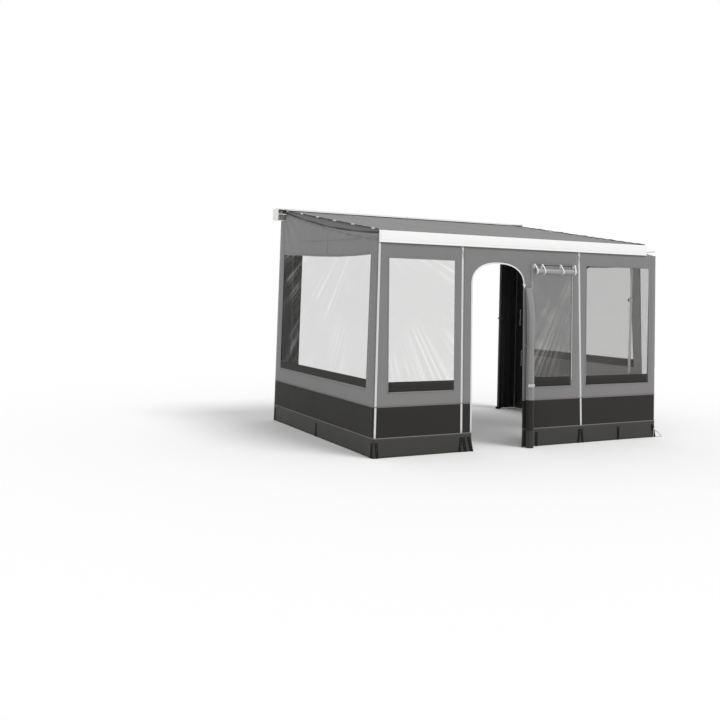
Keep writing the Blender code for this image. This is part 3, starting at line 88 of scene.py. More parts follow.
# %% [markdown]
# ## The awning's own measures
# Cloth has to meet the rail, the zips and the ground exactly where the solids do. The awning is
# described from the middle of its lead rail, with its cassette's mouth at zero depth, and one shift
# read from the rail's solid takes that description to where the model stands.

# %% Measures and the shift to the model
RAIL_FRONT, RAIL_REAR, RAIL_TOP, RAIL_BOTTOM, HALF_RAIL = -2.535, -2.475, 2.226, 2.109, 1.75
PROJECTION, ROOF_REAR, CARAVAN_PLANE = 2.518, 2.61, 0.115
CLOTH, FILM = 0.0015, 0.0008
WALL_LEAN, LEFT_WALL, RIGHT_WALL = 0.0256, (1.75, 0.0209), (1.9, 0.002)
TOUCH = 0.0003
BAND_TOP, BAND_BOTTOM, PLANE_TOP = 0.499, 0.192, 2.1087
ZIP_LEFT, ZIP_RIGHT, ZIP_SHIFT, ZIP_WIDTH = -0.767, 0.741, 0.056, 0.022
DOOR_LEFT, DOOR_RIGHT, DOOR_SPRING, DOOR_TOP, DOOR_POWER = -0.656, -0.005, 1.725, 1.942, 2.3
WINDOWS = {"left": (-1.633, -0.872, 1.957), "middle": (0.117, 0.652, 1.95), "right": (0.869, 1.8, 1.957)}
WINDOW_BOTTOM, BLACKOUT = 0.64, 0.74
rail_low, rail_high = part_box("lead_rail")
HOME = Vector(((rail_low.x + rail_high.x) / 2, rail_low.y - RAIL_FRONT, 0))
print("shift", [round(c, 4) for c in HOME])

# %% Where the roof and the walls run
SLOPE = (ROOF_REAR - RAIL_TOP) / PROJECTION


def roof_height(y):
    return ROOF_REAR + SLOPE * y


def front_y(z):
    return -PROJECTION - WALL_LEAN * (RAIL_BOTTOM - z)


def wall_x(side, z):
    reach, lean = RIGHT_WALL if side > 0 else LEFT_WALL
    return side * (reach + TOUCH + lean * (RAIL_TOP - z))


def front_place(u, v, w):
    """Front wall: across, up, and depth into the awning."""
    return u, front_y(v) + w, v


def side_place(side):
    """Side wall: towards the caravan, up, and depth into the awning from its outer face."""
    return lambda u, v, w: (wall_x(side, v) + side * (CLOTH * 2 - w), u, v)


def zip_x(side, z):
    return ZIP_LEFT if side < 0 else ZIP_RIGHT + ZIP_SHIFT * (RAIL_BOTTOM - z) / RAIL_BOTTOM


# %% [markdown]
# ## Camera
# The camera comes first, so that every later choice is seen from the photograph's place: low, to the
# left of the awning and about ten metres off. Its axes are built from a heading, a pitch and a slight
# roll, and a small vertical shift of the lens stands in for the way the photograph was cropped.

# %% Set the camera
EYE, HEADING, PITCH, ROLL = Vector((-5.593, -9.780, 1.596)), 0.466, -0.027, 0.02
FOCUS, PICTURE, CENTRE_ROW = 843.2, 720, 317
ahead = Vector((math.sin(HEADING) * math.cos(PITCH), math.cos(HEADING) * math.cos(PITCH), math.sin(PITCH)))
across = Vector((math.cos(HEADING), -math.sin(HEADING), 0))
upward = across.cross(ahead)
right_hand = math.cos(ROLL) * across + math.sin(ROLL) * upward
head = math.cos(ROLL) * upward - math.sin(ROLL) * across
lens = bpy.data.cameras.new("camera")
lens.sensor_width = 36
lens.lens = FOCUS / PICTURE * lens.sensor_width
lens.shift_y = (CENTRE_ROW - PICTURE / 2) / PICTURE
lens.clip_end = 200
camera = bpy.data.objects.new("camera", lens)
bpy.context.scene.collection.objects.link(camera)
turn = Matrix((right_hand, head, -ahead)).transposed()
camera.matrix_world = Matrix.Translation(EYE + HOME) @ turn.to_4x4()
bpy.context.scene.camera = camera
print("lens", round(lens.lens, 2), "mm")

# %% [markdown]
# ## Floor and light
# A pale floor keeps the soft shadow under the mud walls. The world gives an even sky, and one broad
# sun from high on the right makes the roof the brightest face and the left side wall the duller one.

# %% Make the floor, the sky and the sun
FLOOR_SIZE = 60.0
sheet_floor = bpy.data.meshes.new("floor")
corners = [(x * FLOOR_SIZE, y * FLOOR_SIZE, -0.001) for x, y in ((-1, -1), (1, -1), (1, 1), (-1, 1))]
sheet_floor.from_pydata(corners, [], [(0, 1, 2, 3)])
floor = bpy.data.objects.new("floor", sheet_floor)
bpy.context.scene.collection.objects.link(floor)
floor_paint = bpy.data.materials.new("pale_floor")
floor_paint.use_nodes = True
floor_shader = floor_paint.node_tree.nodes["Principled BSDF"]
floor_shader.inputs["Base Color"].default_value = (0.93, 0.93, 0.93, 1)
floor_shader.inputs["Roughness"].default_value = 0.9
floor_shader.inputs["Specular IOR Level"].default_value = 0.1
sheet_floor.materials.append(floor_paint)

world = bpy.data.worlds.new("sky")
world.use_nodes = True
sky_nodes, sky_links = world.node_tree.nodes, world.node_tree.links
sky = sky_nodes["Background"]
sky.inputs["Color"].default_value = (1, 1, 1, 1)
sky.inputs["Strength"].default_value = 0.72
white_back = sky_nodes.new("ShaderNodeBackground")
white_back.inputs["Color"].default_value = (1, 1, 1, 1)
white_back.inputs["Strength"].default_value = 1.0
path = sky_nodes.new("ShaderNodeLightPath")
mix_sky, share = sky_nodes.new("ShaderNodeMixShader"), path.outputs["Is Camera Ray"]
for ray in ("Is Glossy Ray", "Is Transmission Ray"):
    either = sky_nodes.new("ShaderNodeMath")
    either.operation = "MAXIMUM"
    sky_links.new(share, either.inputs[0])
    sky_links.new(path.outputs[ray], either.inputs[1])
    share = either.outputs[0]
for source, socket in ((share, 0), (sky.outputs[0], 1), (white_back.outputs[0], 2)):
    sky_links.new(source, mix_sky.inputs[socket])
sky_links.new(mix_sky.outputs[0], sky_nodes["World Output"].inputs["Surface"])
bpy.context.scene.world = world

sun_lamp = bpy.data.lights.new("sun", "SUN")
sun_lamp.energy = 1.35
sun_lamp.angle = math.radians(24)
sun = bpy.data.objects.new("sun", sun_lamp)
sun.rotation_euler = Vector((-0.42, 0.62, -1.15)).to_track_quat("-Z", "Y").to_euler()
bpy.context.scene.collection.objects.link(sun)
bpy.context.scene.view_settings.view_transform = "Standard"
print("sun", sun_lamp.energy, "sky", sky.inputs["Strength"].default_value)

# %% [markdown]
# ## Finishes
# Each finish is a small node tree on the Principled shader. Cloth gets a weave from three crossed wave
# textures in the object's own metres, so it lies at the same scale on every panel. Clear film is a
# thin tinted skin whose alpha is one fixed number. Its creases carry painted highlights: pale streaks
# that fan out from a corner of the window, painted by a noise over the angle, with a bump to match.

# %% Helpers for node trees
def start_finish(name, colour, roughness, **sockets):
    finish = bpy.data.materials.new(name)
    finish.use_nodes = True
    shader = finish.node_tree.nodes["Principled BSDF"]
    shader.inputs["Base Color"].default_value = (*colour, 1)
    shader.inputs["Roughness"].default_value = roughness
    for socket, value in sockets.items():
        shader.inputs[socket.replace("_", " ")].default_value = value
    finish.diffuse_color = (*colour, 1)
    return finish, finish.node_tree, shader


def add_node(tree, kind, links=(), **settings):
    node = tree.nodes.new(kind)
    for key, value in settings.items():
        setattr(node, key, value)
    for socket, value in links:
        if isinstance(value, bpy.types.NodeSocket):
            tree.links.new(value, node.inputs[socket])
        else:
            node.inputs[socket].default_value = value
    return node


def blend_colours(tree, share, first, second):
    mix = add_node(tree, "ShaderNodeMix", data_type="RGBA")
    tree.links.new(share, mix.inputs[0])
    for socket, value in ((6, first), (7, second)):
        if isinstance(value, bpy.types.NodeSocket):
            tree.links.new(value, mix.inputs[socket])
        else:
            mix.inputs[socket].default_value = (*value, 1)
    return mix.outputs[2]


def ramp(tree, source, low, high):
    node = add_node(tree, "ShaderNodeMapRange", [("Value", source), ("From Min", low), ("From Max", high)])
    return node.outputs[0]


print("helpers for node trees ready")


# %% Woven coated cloth
WEAVE_PITCH = 0.0024
WEAVE_SCALE = math.pi / (20 * WEAVE_PITCH)


def woven(name, colour, tint, roughness=0.86, weave=0.25, sheen=0.25):
    """Coated cloth: a fine weave, slow mottling towards a second tint, and faint creases."""
    finish, tree, shader = start_finish(name, colour, roughness, Sheen_Weight=sheen, Sheen_Roughness=0.5)
    shader.inputs["Specular IOR Level"].default_value = 0.25
    place = add_node(tree, "ShaderNodeTexCoord").outputs["Object"]

    def noise(scale, detail):
        return add_node(tree, "ShaderNodeTexNoise",
                        [("Vector", place), ("Scale", scale), ("Detail", detail)]).outputs["Fac"]

    def combine(kind, first, second):
        return add_node(tree, "ShaderNodeMath", [(0, first), (1, second)], operation=kind).outputs[0]

    waves = [add_node(tree, "ShaderNodeTexWave",
                      [("Vector", place), ("Scale", WEAVE_SCALE), ("Distortion", 0.4)],
                      bands_direction=axis).outputs["Fac"] for axis in "XYZ"]
    crossed = combine("MULTIPLY", combine("ADD", waves[0], waves[1]), waves[2])
    weave_share = ramp(tree, crossed, 0.0, 2.0)
    mottled = blend_colours(tree, ramp(tree, noise(1.7, 4.0), 0.35, 0.75), colour, tint)
    threads = blend_colours(tree, ramp(tree, noise(240.0, 2.0), 0.2, 1.6), mottled,
                            tuple(c * 0.72 for c in colour))
    shaded = blend_colours(tree, ramp(tree, weave_share, -0.6, 3.0), threads,
                           tuple(c * 0.8 for c in colour))
    tree.links.new(shaded, shader.inputs["Base Color"])
    soft_bump = add_node(tree, "ShaderNodeBump",
                         [("Height", noise(9.0, 5.0)), ("Strength", 0.18), ("Distance", 0.012)])
    bump = add_node(tree, "ShaderNodeBump",
                    [("Height", weave_share), ("Strength", weave), ("Distance", 0.0006),
                     ("Normal", soft_bump.outputs[0])])
    tree.links.new(bump.outputs[0], shader.inputs["Normal"])
    return finish


WALL_CLOTH = woven("grey_wall_cloth", (0.225, 0.225, 0.228), (0.205, 0.203, 0.202))
ROOF_CLOTH = woven("grey_roof_cloth", (0.128, 0.128, 0.126), (0.106, 0.106, 0.105), 0.7, 0.3, 0.25)
# The door roll and its strap wear the wall's cloth painted lighter, to offset the shade on the roll's rounded
# side.
DOOR_CLOTH_PAINTED_LIGHTER = woven("door_cloth_painted_lighter", (0.268, 0.268, 0.271), (0.248, 0.246, 0.245))
# Pale painted light for the walls' inner faces, standing in for light that glows through the cloth into the
# awning.
INNER_FACE_PAINTED_LIGHT = woven("inner_face_painted_light", (0.46, 0.455, 0.447), (0.42, 0.416, 0.408), 0.8, 0.2, 0.15)
BAND_CLOTH = woven("dark_band_cloth", (0.0195, 0.0185, 0.0168), (0.024, 0.023, 0.021), 0.8, 0.2, 0.08)
FLAP_CLOTH = woven("black_flap_cloth", (0.010, 0.010, 0.010), (0.014, 0.014, 0.014), 0.85, 0.2, 0.15)
print(len(bpy.data.materials), "finishes so far")

# %% Smooth finishes: mud wall, coating, metal, plastic, rubber
def plain(name, colour, roughness, speckle=0.06, grain=160.0, dent=0.0004, **sockets):
    """A smooth finish with faint speckle in its colour and roughness, and a fine bump."""
    finish, tree, shader = start_finish(name, colour, roughness, **sockets)
    place = add_node(tree, "ShaderNodeTexCoord").outputs["Object"]
    noise = add_node(tree, "ShaderNodeTexNoise", [("Vector", place), ("Scale", grain), ("Detail", 3.0)])
    worn = add_node(tree, "ShaderNodeTexNoise", [("Vector", place), ("Scale", 2.6), ("Detail", 6.0)])
    darker = tuple(c * (1 - speckle * 2) for c in colour)
    mottled = blend_colours(tree, ramp(tree, worn.outputs["Fac"], 0.3, 0.9), colour, darker)
    tree.links.new(mottled, shader.inputs["Base Color"])
    rough = add_node(tree, "ShaderNodeMapRange",
                     [("Value", noise.outputs["Fac"]), ("To Min", roughness * 0.85),
                      ("To Max", min(1.0, roughness * 1.25))])
    tree.links.new(rough.outputs[0], shader.inputs["Roughness"])
    bump = add_node(tree, "ShaderNodeBump",
                    [("Height", noise.outputs["Fac"]), ("Strength", 0.12), ("Distance", dent)])
    tree.links.new(bump.outputs[0], shader.inputs["Normal"])
    return finish


MUD_CLOTH = plain("mud_wall_cloth", (0.0245, 0.0252, 0.0208), 0.62, 0.08, 420.0, 0.0008, Sheen_Weight=0.05)
HEM_BLACK = plain("black_hem", (0.012, 0.012, 0.012), 0.6)
WHITE_COAT = plain("white_coating", (0.88, 0.88, 0.875), 0.32, 0.01, 300.0, 0.0002, Coat_Weight=0.3)
WHITE_CLOTH = plain("white_piping_cloth", (0.78, 0.78, 0.79), 0.6, 0.03)
WHITE_CAP = plain("white_moulding", (0.85, 0.85, 0.84), 0.4, 0.02)
SILVER_CLOTH = plain("silver_blind_cloth", (0.34, 0.34, 0.35), 0.38, 0.16, 60.0, 0.002, Metallic=0.35)
BARE_METAL = plain("anodised_metal", (0.62, 0.63, 0.64), 0.34, 0.04, 500.0, 0.0001, Metallic=0.9)
BRIGHT_STEEL = plain("plated_steel", (0.58, 0.58, 0.59), 0.25, 0.05, 400.0, 0.0001, Metallic=1.0)
BLACK_PLASTIC = plain("black_moulding", (0.022, 0.022, 0.022), 0.5, 0.05, 600.0)
BLACK_RUBBER = plain("black_rubber", (0.004, 0.004, 0.004), 0.9, 0.05, 300.0)
BLACK_RUBBER.node_tree.nodes["Principled BSDF"].inputs["Specular IOR Level"].default_value = 0.2
DARK_METAL = plain("dark_coated_metal", (0.045, 0.045, 0.045), 0.5, 0.05, 400.0, Metallic=0.2)
# A near-black cloth that is painted shade: the deep shade inside the right wall by the caravan.
PAINTED_SHADE_CLOTH = woven("painted_shade_cloth", (0.016, 0.0145, 0.013), (0.012, 0.011, 0.010), 0.9, 0.2, 0.05)
SEAM_THREAD = plain("mauve_seam_tape", (0.17, 0.15, 0.165), 0.7, 0.05)
ZIP_WHITE = plain("white_zip_tape", (0.66, 0.66, 0.665), 0.55, 0.02)
CLIP_GREY = plain("pale_clip_moulding", (0.62, 0.62, 0.61), 0.45, 0.03)
print(len(bpy.data.materials), "finishes with the smooth ones")

# %% Clear film
# Noise ranges per window that become painted highlights along the creases.
CREASE_GLINT_RANGES = {"left": (0.49, 0.62), "right": (0.56, 0.74), "middle": (0.46, 0.68)}
PAINTED_CREASE_GLINT = (0.72, 0.71, 0.69)


def clear_film(name, corner, along, streaks, tint=(0.14, 0.136, 0.13), shine=0.5, cover=0.19,
               glint=PAINTED_CREASE_GLINT):
    """Tinted clear film: painted highlights on its creases fan out from a corner of the window, along the
    wall's axis.
    """
    finish, tree, shader = start_finish(name, tint, 0.12, Alpha=cover, Specular_IOR_Level=shine)
    finish.surface_render_method = "BLENDED"

    def combine(kind, first, second):
        return add_node(tree, "ShaderNodeMath", [(0, first), (1, second)], operation=kind).outputs[0]

    place = add_node(tree, "ShaderNodeTexCoord").outputs["Object"]
    parts = add_node(tree, "ShaderNodeSeparateXYZ", [("Vector", place)])
    run = combine("SUBTRACT", parts.outputs["XY".index(along)], corner[0])
    drop = combine("SUBTRACT", corner[1], parts.outputs["Z"])
    fan = add_node(tree, "ShaderNodeCombineXYZ", [("X", combine("ARCTAN2", drop, run))])
    slow = add_node(tree, "ShaderNodeTexNoise", [("Vector", place), ("Scale", 1.6), ("Detail", 2.0)])
    rays = add_node(tree, "ShaderNodeTexNoise", [("Vector", fan.outputs[0]), ("Scale", 26.0),
                                                 ("Detail", 5.0), ("Roughness", 0.7)])
    share = combine("MULTIPLY", ramp(tree, rays.outputs["Fac"], *streaks),
                    ramp(tree, slow.outputs["Fac"], 0.42, 0.62))
    # Painted highlight: the glint colour is mixed into the tint along the creases.
    tree.links.new(blend_colours(tree, share, tint, glint), shader.inputs["Base Color"])
    bump = add_node(tree, "ShaderNodeBump",
                    [("Height", rays.outputs["Fac"]), ("Strength", 0.25), ("Distance", 0.004)])
    tree.links.new(bump.outputs[0], shader.inputs["Normal"])
    return finish


print(len(bpy.data.materials), "finishes in all")

# %% [markdown]
# ## Cutting and hanging cloth
# Every panel is cut flat, as a maker would on a table: an outline with holes, filled with evenly
# spaced points by a constrained triangulation. It is then hung: each point goes to its place on the
# leaning wall and moves a few millimetres in or out with the folds, which fade at the sewn edges.

# %% Cut a flat panel
def along_edges(outline, step):
    """The outline again, with points no further apart than the step."""
    made = []
    for (u0, v0), (u1, v1) in zip(outline, outline[1:] + outline[:1]):
        parts = max(1, math.ceil(math.hypot(u1 - u0, v1 - v0) / step))
        made += [(u0 + (u1 - u0) * n / parts, v0 + (v1 - v0) * n / parts) for n in range(parts)]
    return made


def inside(points, outline):
    """Which of the points lie within the outline."""
    found = np.zeros(len(points), bool)
    u, v = points[:, 0], points[:, 1]
    for (u0, v0), (u1, v1) in zip(outline, outline[1:] + outline[:1]):
        crosses = (v0 > v) != (v1 > v)
        run = (u1 - u0) * (v - v0) / ((v1 - v0) or 1e-12) + u0
        found ^= crosses & (u < run)
    return found


def edge_distance(points, loops):
    """How far each point is from the nearest cut edge."""
    best = np.full(len(points), 9.0)
    for loop in loops:
        for a, b in zip(loop, loop[1:] + loop[:1]):
            a, b = np.array(a), np.array(b)
            along = b - a
            share = np.clip(((points - a) @ along) / max(along @ along, 1e-12), 0, 1)
            best = np.minimum(best, np.linalg.norm(points - a - share[:, None] * along, axis=1))
    return best


def cut_panel(outline, holes=(), step=0.03):
    """Points, triangles and edge distance of a flat panel with holes."""
    loops = [list(map(tuple, outline)), *[list(map(tuple, hole)) for hole in holes]]
    fine = [along_edges(loop, step) for loop in loops]
    low, high = np.min(outline, axis=0), np.max(outline, axis=0)
    rows = np.arange(low[1] + step / 2, high[1], step * 0.87)
    grid = np.array([(u, v) for n, v in enumerate(rows)
                     for u in np.arange(low[0] + step * (0.5 + 0.5 * (n % 2)), high[0], step)])
    keep = inside(grid, loops[0]) & (edge_distance(grid, loops) > step * 0.45)
    for hole in loops[1:]:
        keep &= ~inside(grid, hole)
    vertices, edges = [Vector(p) for loop in fine for p in loop], []
    first = 0
    for loop in fine:
        edges += [(first + n, first + (n + 1) % len(loop)) for n in range(len(loop))]
        first += len(loop)
    vertices += [Vector(p) for p in grid[keep]]
    points, _, faces, *_ = delaunay_2d_cdt(vertices, edges, [], 1, 1e-6)
    points = np.array([tuple(p) for p in points])
    faces = np.array(faces)
    middle = points[faces].mean(axis=1)
    good = inside(middle, loops[0])
    for hole in loops[1:]:
        good &= ~inside(middle, hole)
    return points, faces[good], edge_distance(points, loops)


square = [(0, 0), (1, 0), (1, 1), (0, 1)]
print("a square metre is cut into", len(cut_panel(square)[1]), "triangles")


# %% Turn points and faces into a piece
def at_home(place):
    """A point of the awning's own frame, moved to where the model stands."""
    return Vector(place) + HOME


def link_piece(name, data, finishes):
    for finish in finishes:
        data.materials.append(finish)
    piece = bpy.data.objects.new(name, data)
    bpy.context.scene.collection.objects.link(piece)
    return piece


def new_piece(name, points, faces, finish, smooth=True):
    data = bpy.data.meshes.new(name)
    data.from_pydata([tuple(p) for p in points], [], [tuple(int(i) for i in f) for f in faces])
    data.update()
    if smooth:
        data.shade_smooth()
    return link_piece(name, data, [finish])


def from_bmesh(name, mesh, *finishes, smooth=True):
    """Ends the work on a bmesh: its faces are turned outwards, and it becomes a piece."""
    bmesh.ops.recalc_face_normals(mesh, faces=mesh.faces)
    data = bpy.data.meshes.new(name)
    mesh.to_mesh(data)
    mesh.free()
    if smooth:
        data.shade_smooth()
    return link_piece(name, data, finishes)


def bridge(mesh, rings, ends=True):
    """Faces from each ring of points to the next, and across the first and the last ring."""
    sides = len(rings[0])
    made = [mesh.faces.new((a[k], a[(k + 1) % sides], b[(k + 1) % sides], b[k]))
            for a, b in zip(rings, rings[1:]) for k in range(sides)]
    if ends:
        mesh.faces.new(rings[0][::-1])
        mesh.faces.new(rings[-1])
    return made


def grid_faces(rows, columns):
    """The four-sided faces of a grid of points that is listed row by row."""
    wide = columns + 1
    return [(n * wide + k, n * wide + k + 1, (n + 1) * wide + k + 1, (n + 1) * wide + k)
            for n in range(rows) for k in range(columns)]


def thicken(piece, thick, offset=0):
    body = piece.modifiers.new("thickness", "SOLIDIFY")
    body.thickness, body.offset = thick, offset
    return piece


def settle(piece, body, node, stands_for=False):
    """The piece rides a body and, where it stands for that node, takes its place by hiding it."""
    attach(piece, body)
    if stands_for:
        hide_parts(node)
    return piece


print("mesh helpers ready")

# %% Hang a cut panel
FADE = 0.06


def hang(name, cut, place, finish, folds=None, depth=0.0, thick=CLOTH):
    """Hangs a cut panel: folds(u, v) gives metres outwards, which fade close to a cut edge."""
    points, faces, edge = cut
    u, v = points[:, 0], points[:, 1]
    out = np.zeros(len(u)) if folds is None else folds(u, v) * np.clip(edge / FADE, 0, 1) ** 1.5
    x, y, z = place(u, v, depth - out)
    hung = np.stack([x + 0 * u, y + 0 * u, z + 0 * u], axis=1) + np.array(HOME)
    return thicken(new_piece(name, hung, faces, finish), thick)


def harden(piece):
    """Applies a piece's modifiers, so that its mesh is final."""
    bpy.context.view_layer.update()
    made = piece.evaluated_get(bpy.context.evaluated_depsgraph_get())
    mesh = bpy.data.meshes.new_from_object(made)
    piece.modifiers.clear()
    piece.data = mesh
    return piece


print("cloth tools ready")

# %% [markdown]
# ## Front wall
# Three panels meet at two upright zips. Each is a taut woven sheet that hangs from the rail, so its
# folds are long and shallow: a few slow waves running up the cloth, and puckers where a seam ends. It
# is cut round its window and round the door's arch. The lower band and the mud wall are sewn on below.

# %% Front panels
FRONT_FOLD, FOLD_ROWS = 0.003, ((2.3, 0.7, 0.4), (4.1, -1.3, 1.9), (9.0, 2.1, 0.7))


def wall_folds(strength, shift=0.0):
    """Slow upright waves with a slight slant, as metres outwards."""
    def folds(u, v):
        out = 0 * u
        for n, (rate, slant, start) in enumerate(FOLD_ROWS):
            out = out + np.sin(rate * math.tau * (u + shift + 0.12 * slant * v) / 2 + start) / (n + 1.2)
        return strength * out * (0.45 + 0.55 * np.sin(1.9 * v + shift * 3) ** 2)
    return folds


def bounded(left, right, low, high, rows=12):
    """An outline between two edges that are functions of height."""
    heights = [low + (high - low) * n / rows for n in range(rows + 1)]
    return [(left(z), z) for z in heights[::-1]] + [(right(z), z) for z in heights]


def corner_x(side, z):
    return wall_x(side, z) - side * TOUCH


def door_arch(grow=0.0):
    centre, half = (DOOR_LEFT + DOOR_RIGHT) / 2, (DOOR_RIGHT - DOOR_LEFT) / 2 + grow
    rise, power, made = DOOR_TOP - DOOR_SPRING + grow, 2 / DOOR_POWER, []
    for n in range(33):
        x, z = math.cos(math.pi * n / 32), math.sin(math.pi * n / 32)
        made.append((centre + half * math.copysign(abs(x) ** power, x), DOOR_SPRING + rise * abs(z) ** power))
    return made


def rectangle(left, right, low, high):
    return [(left, low), (right, low), (right, high), (left, high)]


def area_of(outline):
    return abs(sum(a[0] * b[1] - b[0] * a[1] for a, b in zip(outline, outline[1:] + outline[:1]))) / 2


SEWN = BAND_TOP + TOUCH
panel_outlines = {
    "left": bounded(lambda z: corner_x(-1, z), lambda z: zip_x(-1, z) - TOUCH, SEWN, PLANE_TOP),
    "middle": [(DOOR_RIGHT, SEWN), (zip_x(1, SEWN) - TOUCH, SEWN), (zip_x(1, PLANE_TOP) - TOUCH, PLANE_TOP),
               (ZIP_LEFT + TOUCH, PLANE_TOP), (ZIP_LEFT + TOUCH, SEWN), (DOOR_LEFT, SEWN),
               *door_arch()[::-1]],
    "right": bounded(lambda z: zip_x(1, z) + TOUCH, lambda z: corner_x(1, z), SEWN, PLANE_TOP)}
for label, outline in panel_outlines.items():
    left, right, top = WINDOWS[label]
    hole = rectangle(left, right, WINDOW_BOTTOM, top)
    piece = hang("cloth_front_" + label, cut_panel(outline, [hole]), front_place, WALL_CLOTH,
                 wall_folds(FRONT_FOLD, left), CLOTH)
    settle(piece, "rail", "front_%s_panel" % label, True)
    print(piece.name, len(piece.data.polygons), "faces,", round(area_of(outline), 3), "m2 before the window")


# %% Raised tapes, seams and stitches
TAPE_CROWN = [(-1, 0), (-0.8, 0.75), (0, 1), (0.8, 0.75), (1, 0)]
TAPE_SKIN, TAPE_PROUD = 0.0006, 0.0012


def ribbon(name, path, width, place, finish, depth, proud, body, node):
    """A flat tape that follows a path (u, v) and stands a little off the cloth."""
    path = [np.array(p, float) for p in path]
    points = []
    for n, p in enumerate(path):
        along = path[min(n + 1, len(path) - 1)] - path[max(n - 1, 0)]
        along = along / (np.linalg.norm(along) or 1)
        beside = np.array((-along[1], along[0])) * width / 2
        points += [np.array(place(*(p + beside * share), depth - proud * lift)) + np.array(HOME)
                   for share, lift in TAPE_CROWN]
    piece = new_piece(name, points, grid_faces(len(path) - 1, len(TAPE_CROWN) - 1), finish)
    return settle(thicken(piece, TAPE_SKIN, -1), body, node)


def line(start, end, step=0.05):
    parts = max(1, round(math.dist(start, end) / step))
    return [tuple(np.array(start) + (np.array(end) - np.array(start)) * n / parts) for n in range(parts + 1)]


def closed_path(corners):
    """Points along every side of a shape, ending where they began."""
    return [p for a, b in zip(corners, corners[1:] + corners[:1]) for p in line(a, b)[:-1]] + [corners[0]]


WELD, OUTSIDE = 0.014, -0.0002
for label, (left, right, top) in WINDOWS.items():
    grow, node = WELD / 2, "front_%s_panel" % label
    rim = rectangle(left - grow, right + grow, WINDOW_BOTTOM - grow, top + grow)
    ribbon("weld_window_" + label, closed_path(rim), WELD, front_place, WALL_CLOTH, OUTSIDE, TAPE_PROUD,
           "rail", node)
    strip_cut = cut_panel(rectangle(left + TOUCH, right - TOUCH, WINDOW_BOTTOM + TOUCH, BLACKOUT), (), 0.04)
    strip = hang("dark_strip_window_" + label, strip_cut, front_place, BAND_CLOTH, None, CLOTH)
    settle(strip, "rail", node)
print("welds and dark strips made")

# %% Clear film windows
def film_folds(left, low, high, strength, seed):
    """Faint creases that fan out from the upper left of a taut film, with slow waves between."""
    rng = random.Random(seed)
    rays = [(rng.uniform(-1.35, -0.25), rng.uniform(0.006, 0.016), rng.uniform(0.4, 1.0)) for _ in range(9)]

    def folds(u, v):
        across_film, down = u - left, high - v
        out = 0.25 * np.sin(5.1 * u + 2.3 * v + seed) + 0.15 * np.sin(11 * u - 6.1 * v + seed)
        reach = np.hypot(across_film, down) / (high - low)
        for angle, width, power in rays:
            off = across_film * math.sin(angle) + down * math.cos(angle)
            out = out + power * np.exp(-(off / (width * 2)) ** 2) * np.clip(1.15 - reach, 0, 1)
        return strength * out
    return folds


FILM_DEPTH = 0.0018
# The middle window's film is darker: painted shade for the shaded inside seen through it, with dimmer painted
# highlights on its creases.
MIDDLE_FILM_PAINTED_SHADE = {"tint": (0.070, 0.068, 0.065), "shine": 0.4, "cover": 0.51, "glint": (0.46, 0.45, 0.435)}
for seed, (label, (left, right, top)) in enumerate(WINDOWS.items()):
    outline = rectangle(left + TOUCH, right - TOUCH, BLACKOUT + TOUCH, top - TOUCH)
    middle_painted_shade = label == "middle"
    corner = (right + HOME.x + 0.5, top + 0.9) if middle_painted_shade else (left + HOME.x - 0.25, top + 0.35)
    finish = clear_film("clear_film_" + label, corner, "X", CREASE_GLINT_RANGES[label], **(MIDDLE_FILM_PAINTED_SHADE if middle_painted_shade else {}))
    film = hang("film_front_" + label, cut_panel(outline, (), 0.02), front_place, finish,
                film_folds(left, BLACKOUT, top, 0.0022, seed), FILM_DEPTH, FILM)
    settle(film, "rail", "front_%s_window" % label, True)
    print(film.name, len(film.data.polygons), "faces")

# %% Rubber peg ladders
LADDER_HALF, LADDER_BAR, LADDER_SKIN, LADDER_HEIGHT = 0.013, 0.0075, 0.0024, 0.148
LADDER_RUNGS, LADDER_FOOT = 5, 0.002
PEG_HEAD = ((-0.004, 0.010), (-0.007, 0.0115), (-0.010, 0.010), (-0.0115, 0.005))
PEG_HEIGHT, PEG_SIDES, BAR_SIDES, BAR_STEPS = 0.009, 16, 8, 5


def circle(sides, shift=0.0):
    """The cosine and the sine of each corner of a regular shape."""
    return [(math.cos(math.tau * (k + shift) / sides), math.sin(math.tau * (k + shift) / sides))
            for k in range(sides)]


def rubber_ladder(name, centre, place, body, node, lean=0.0):
    """A rubber peg ladder on the mud wall: two side rails, rungs, and the head of the peg that holds it."""
    mesh = bmesh.new()

    def bar_between(a, b):
        rings, upright = [], abs(b[1] - a[1]) > abs(b[0] - a[0])
        for n in range(BAR_STEPS + 1):
            u, v = a[0] + (b[0] - a[0]) * n / BAR_STEPS, a[1] + (b[1] - a[1]) * n / BAR_STEPS
            u += lean * (1 - v / LADDER_HEIGHT) ** 1.4
            ring = []
            for c, s in circle(BAR_SIDES):
                wide = c * LADDER_BAR / 2
                du, dv = (wide, 0) if upright else (0, wide)
                at = place(u + du, v + dv, -0.0027 - s * LADDER_SKIN)
                ring.append(mesh.verts.new(at_home(at)))
            rings.append(ring)
        bridge(mesh, rings)

    reach = LADDER_HALF - LADDER_BAR / 2
    for side in (-1, 1):
        bar_between((centre + side * reach, LADDER_FOOT), (centre + side * reach, LADDER_HEIGHT))
    for n in range(LADDER_RUNGS):
        v = LADDER_FOOT + LADDER_BAR / 2 + (LADDER_HEIGHT - LADDER_FOOT - LADDER_BAR) * n / (LADDER_RUNGS - 1)
        bar_between((centre - reach, v), (centre + reach, v))
    rings = []
    for w, radius in PEG_HEAD:
        around = [(centre + lean + radius * c, PEG_HEIGHT + radius * 0.75 * s) for c, s in circle(PEG_SIDES)]
        rings.append([mesh.verts.new(at_home(place(u, v, w))) for u, v in around])
    bridge(mesh, rings)
    return settle(from_bmesh(name, mesh, BLACK_RUBBER), body, node)


print("a peg ladder is", LADDER_HEIGHT, "m tall and has", LADDER_RUNGS, "rungs")


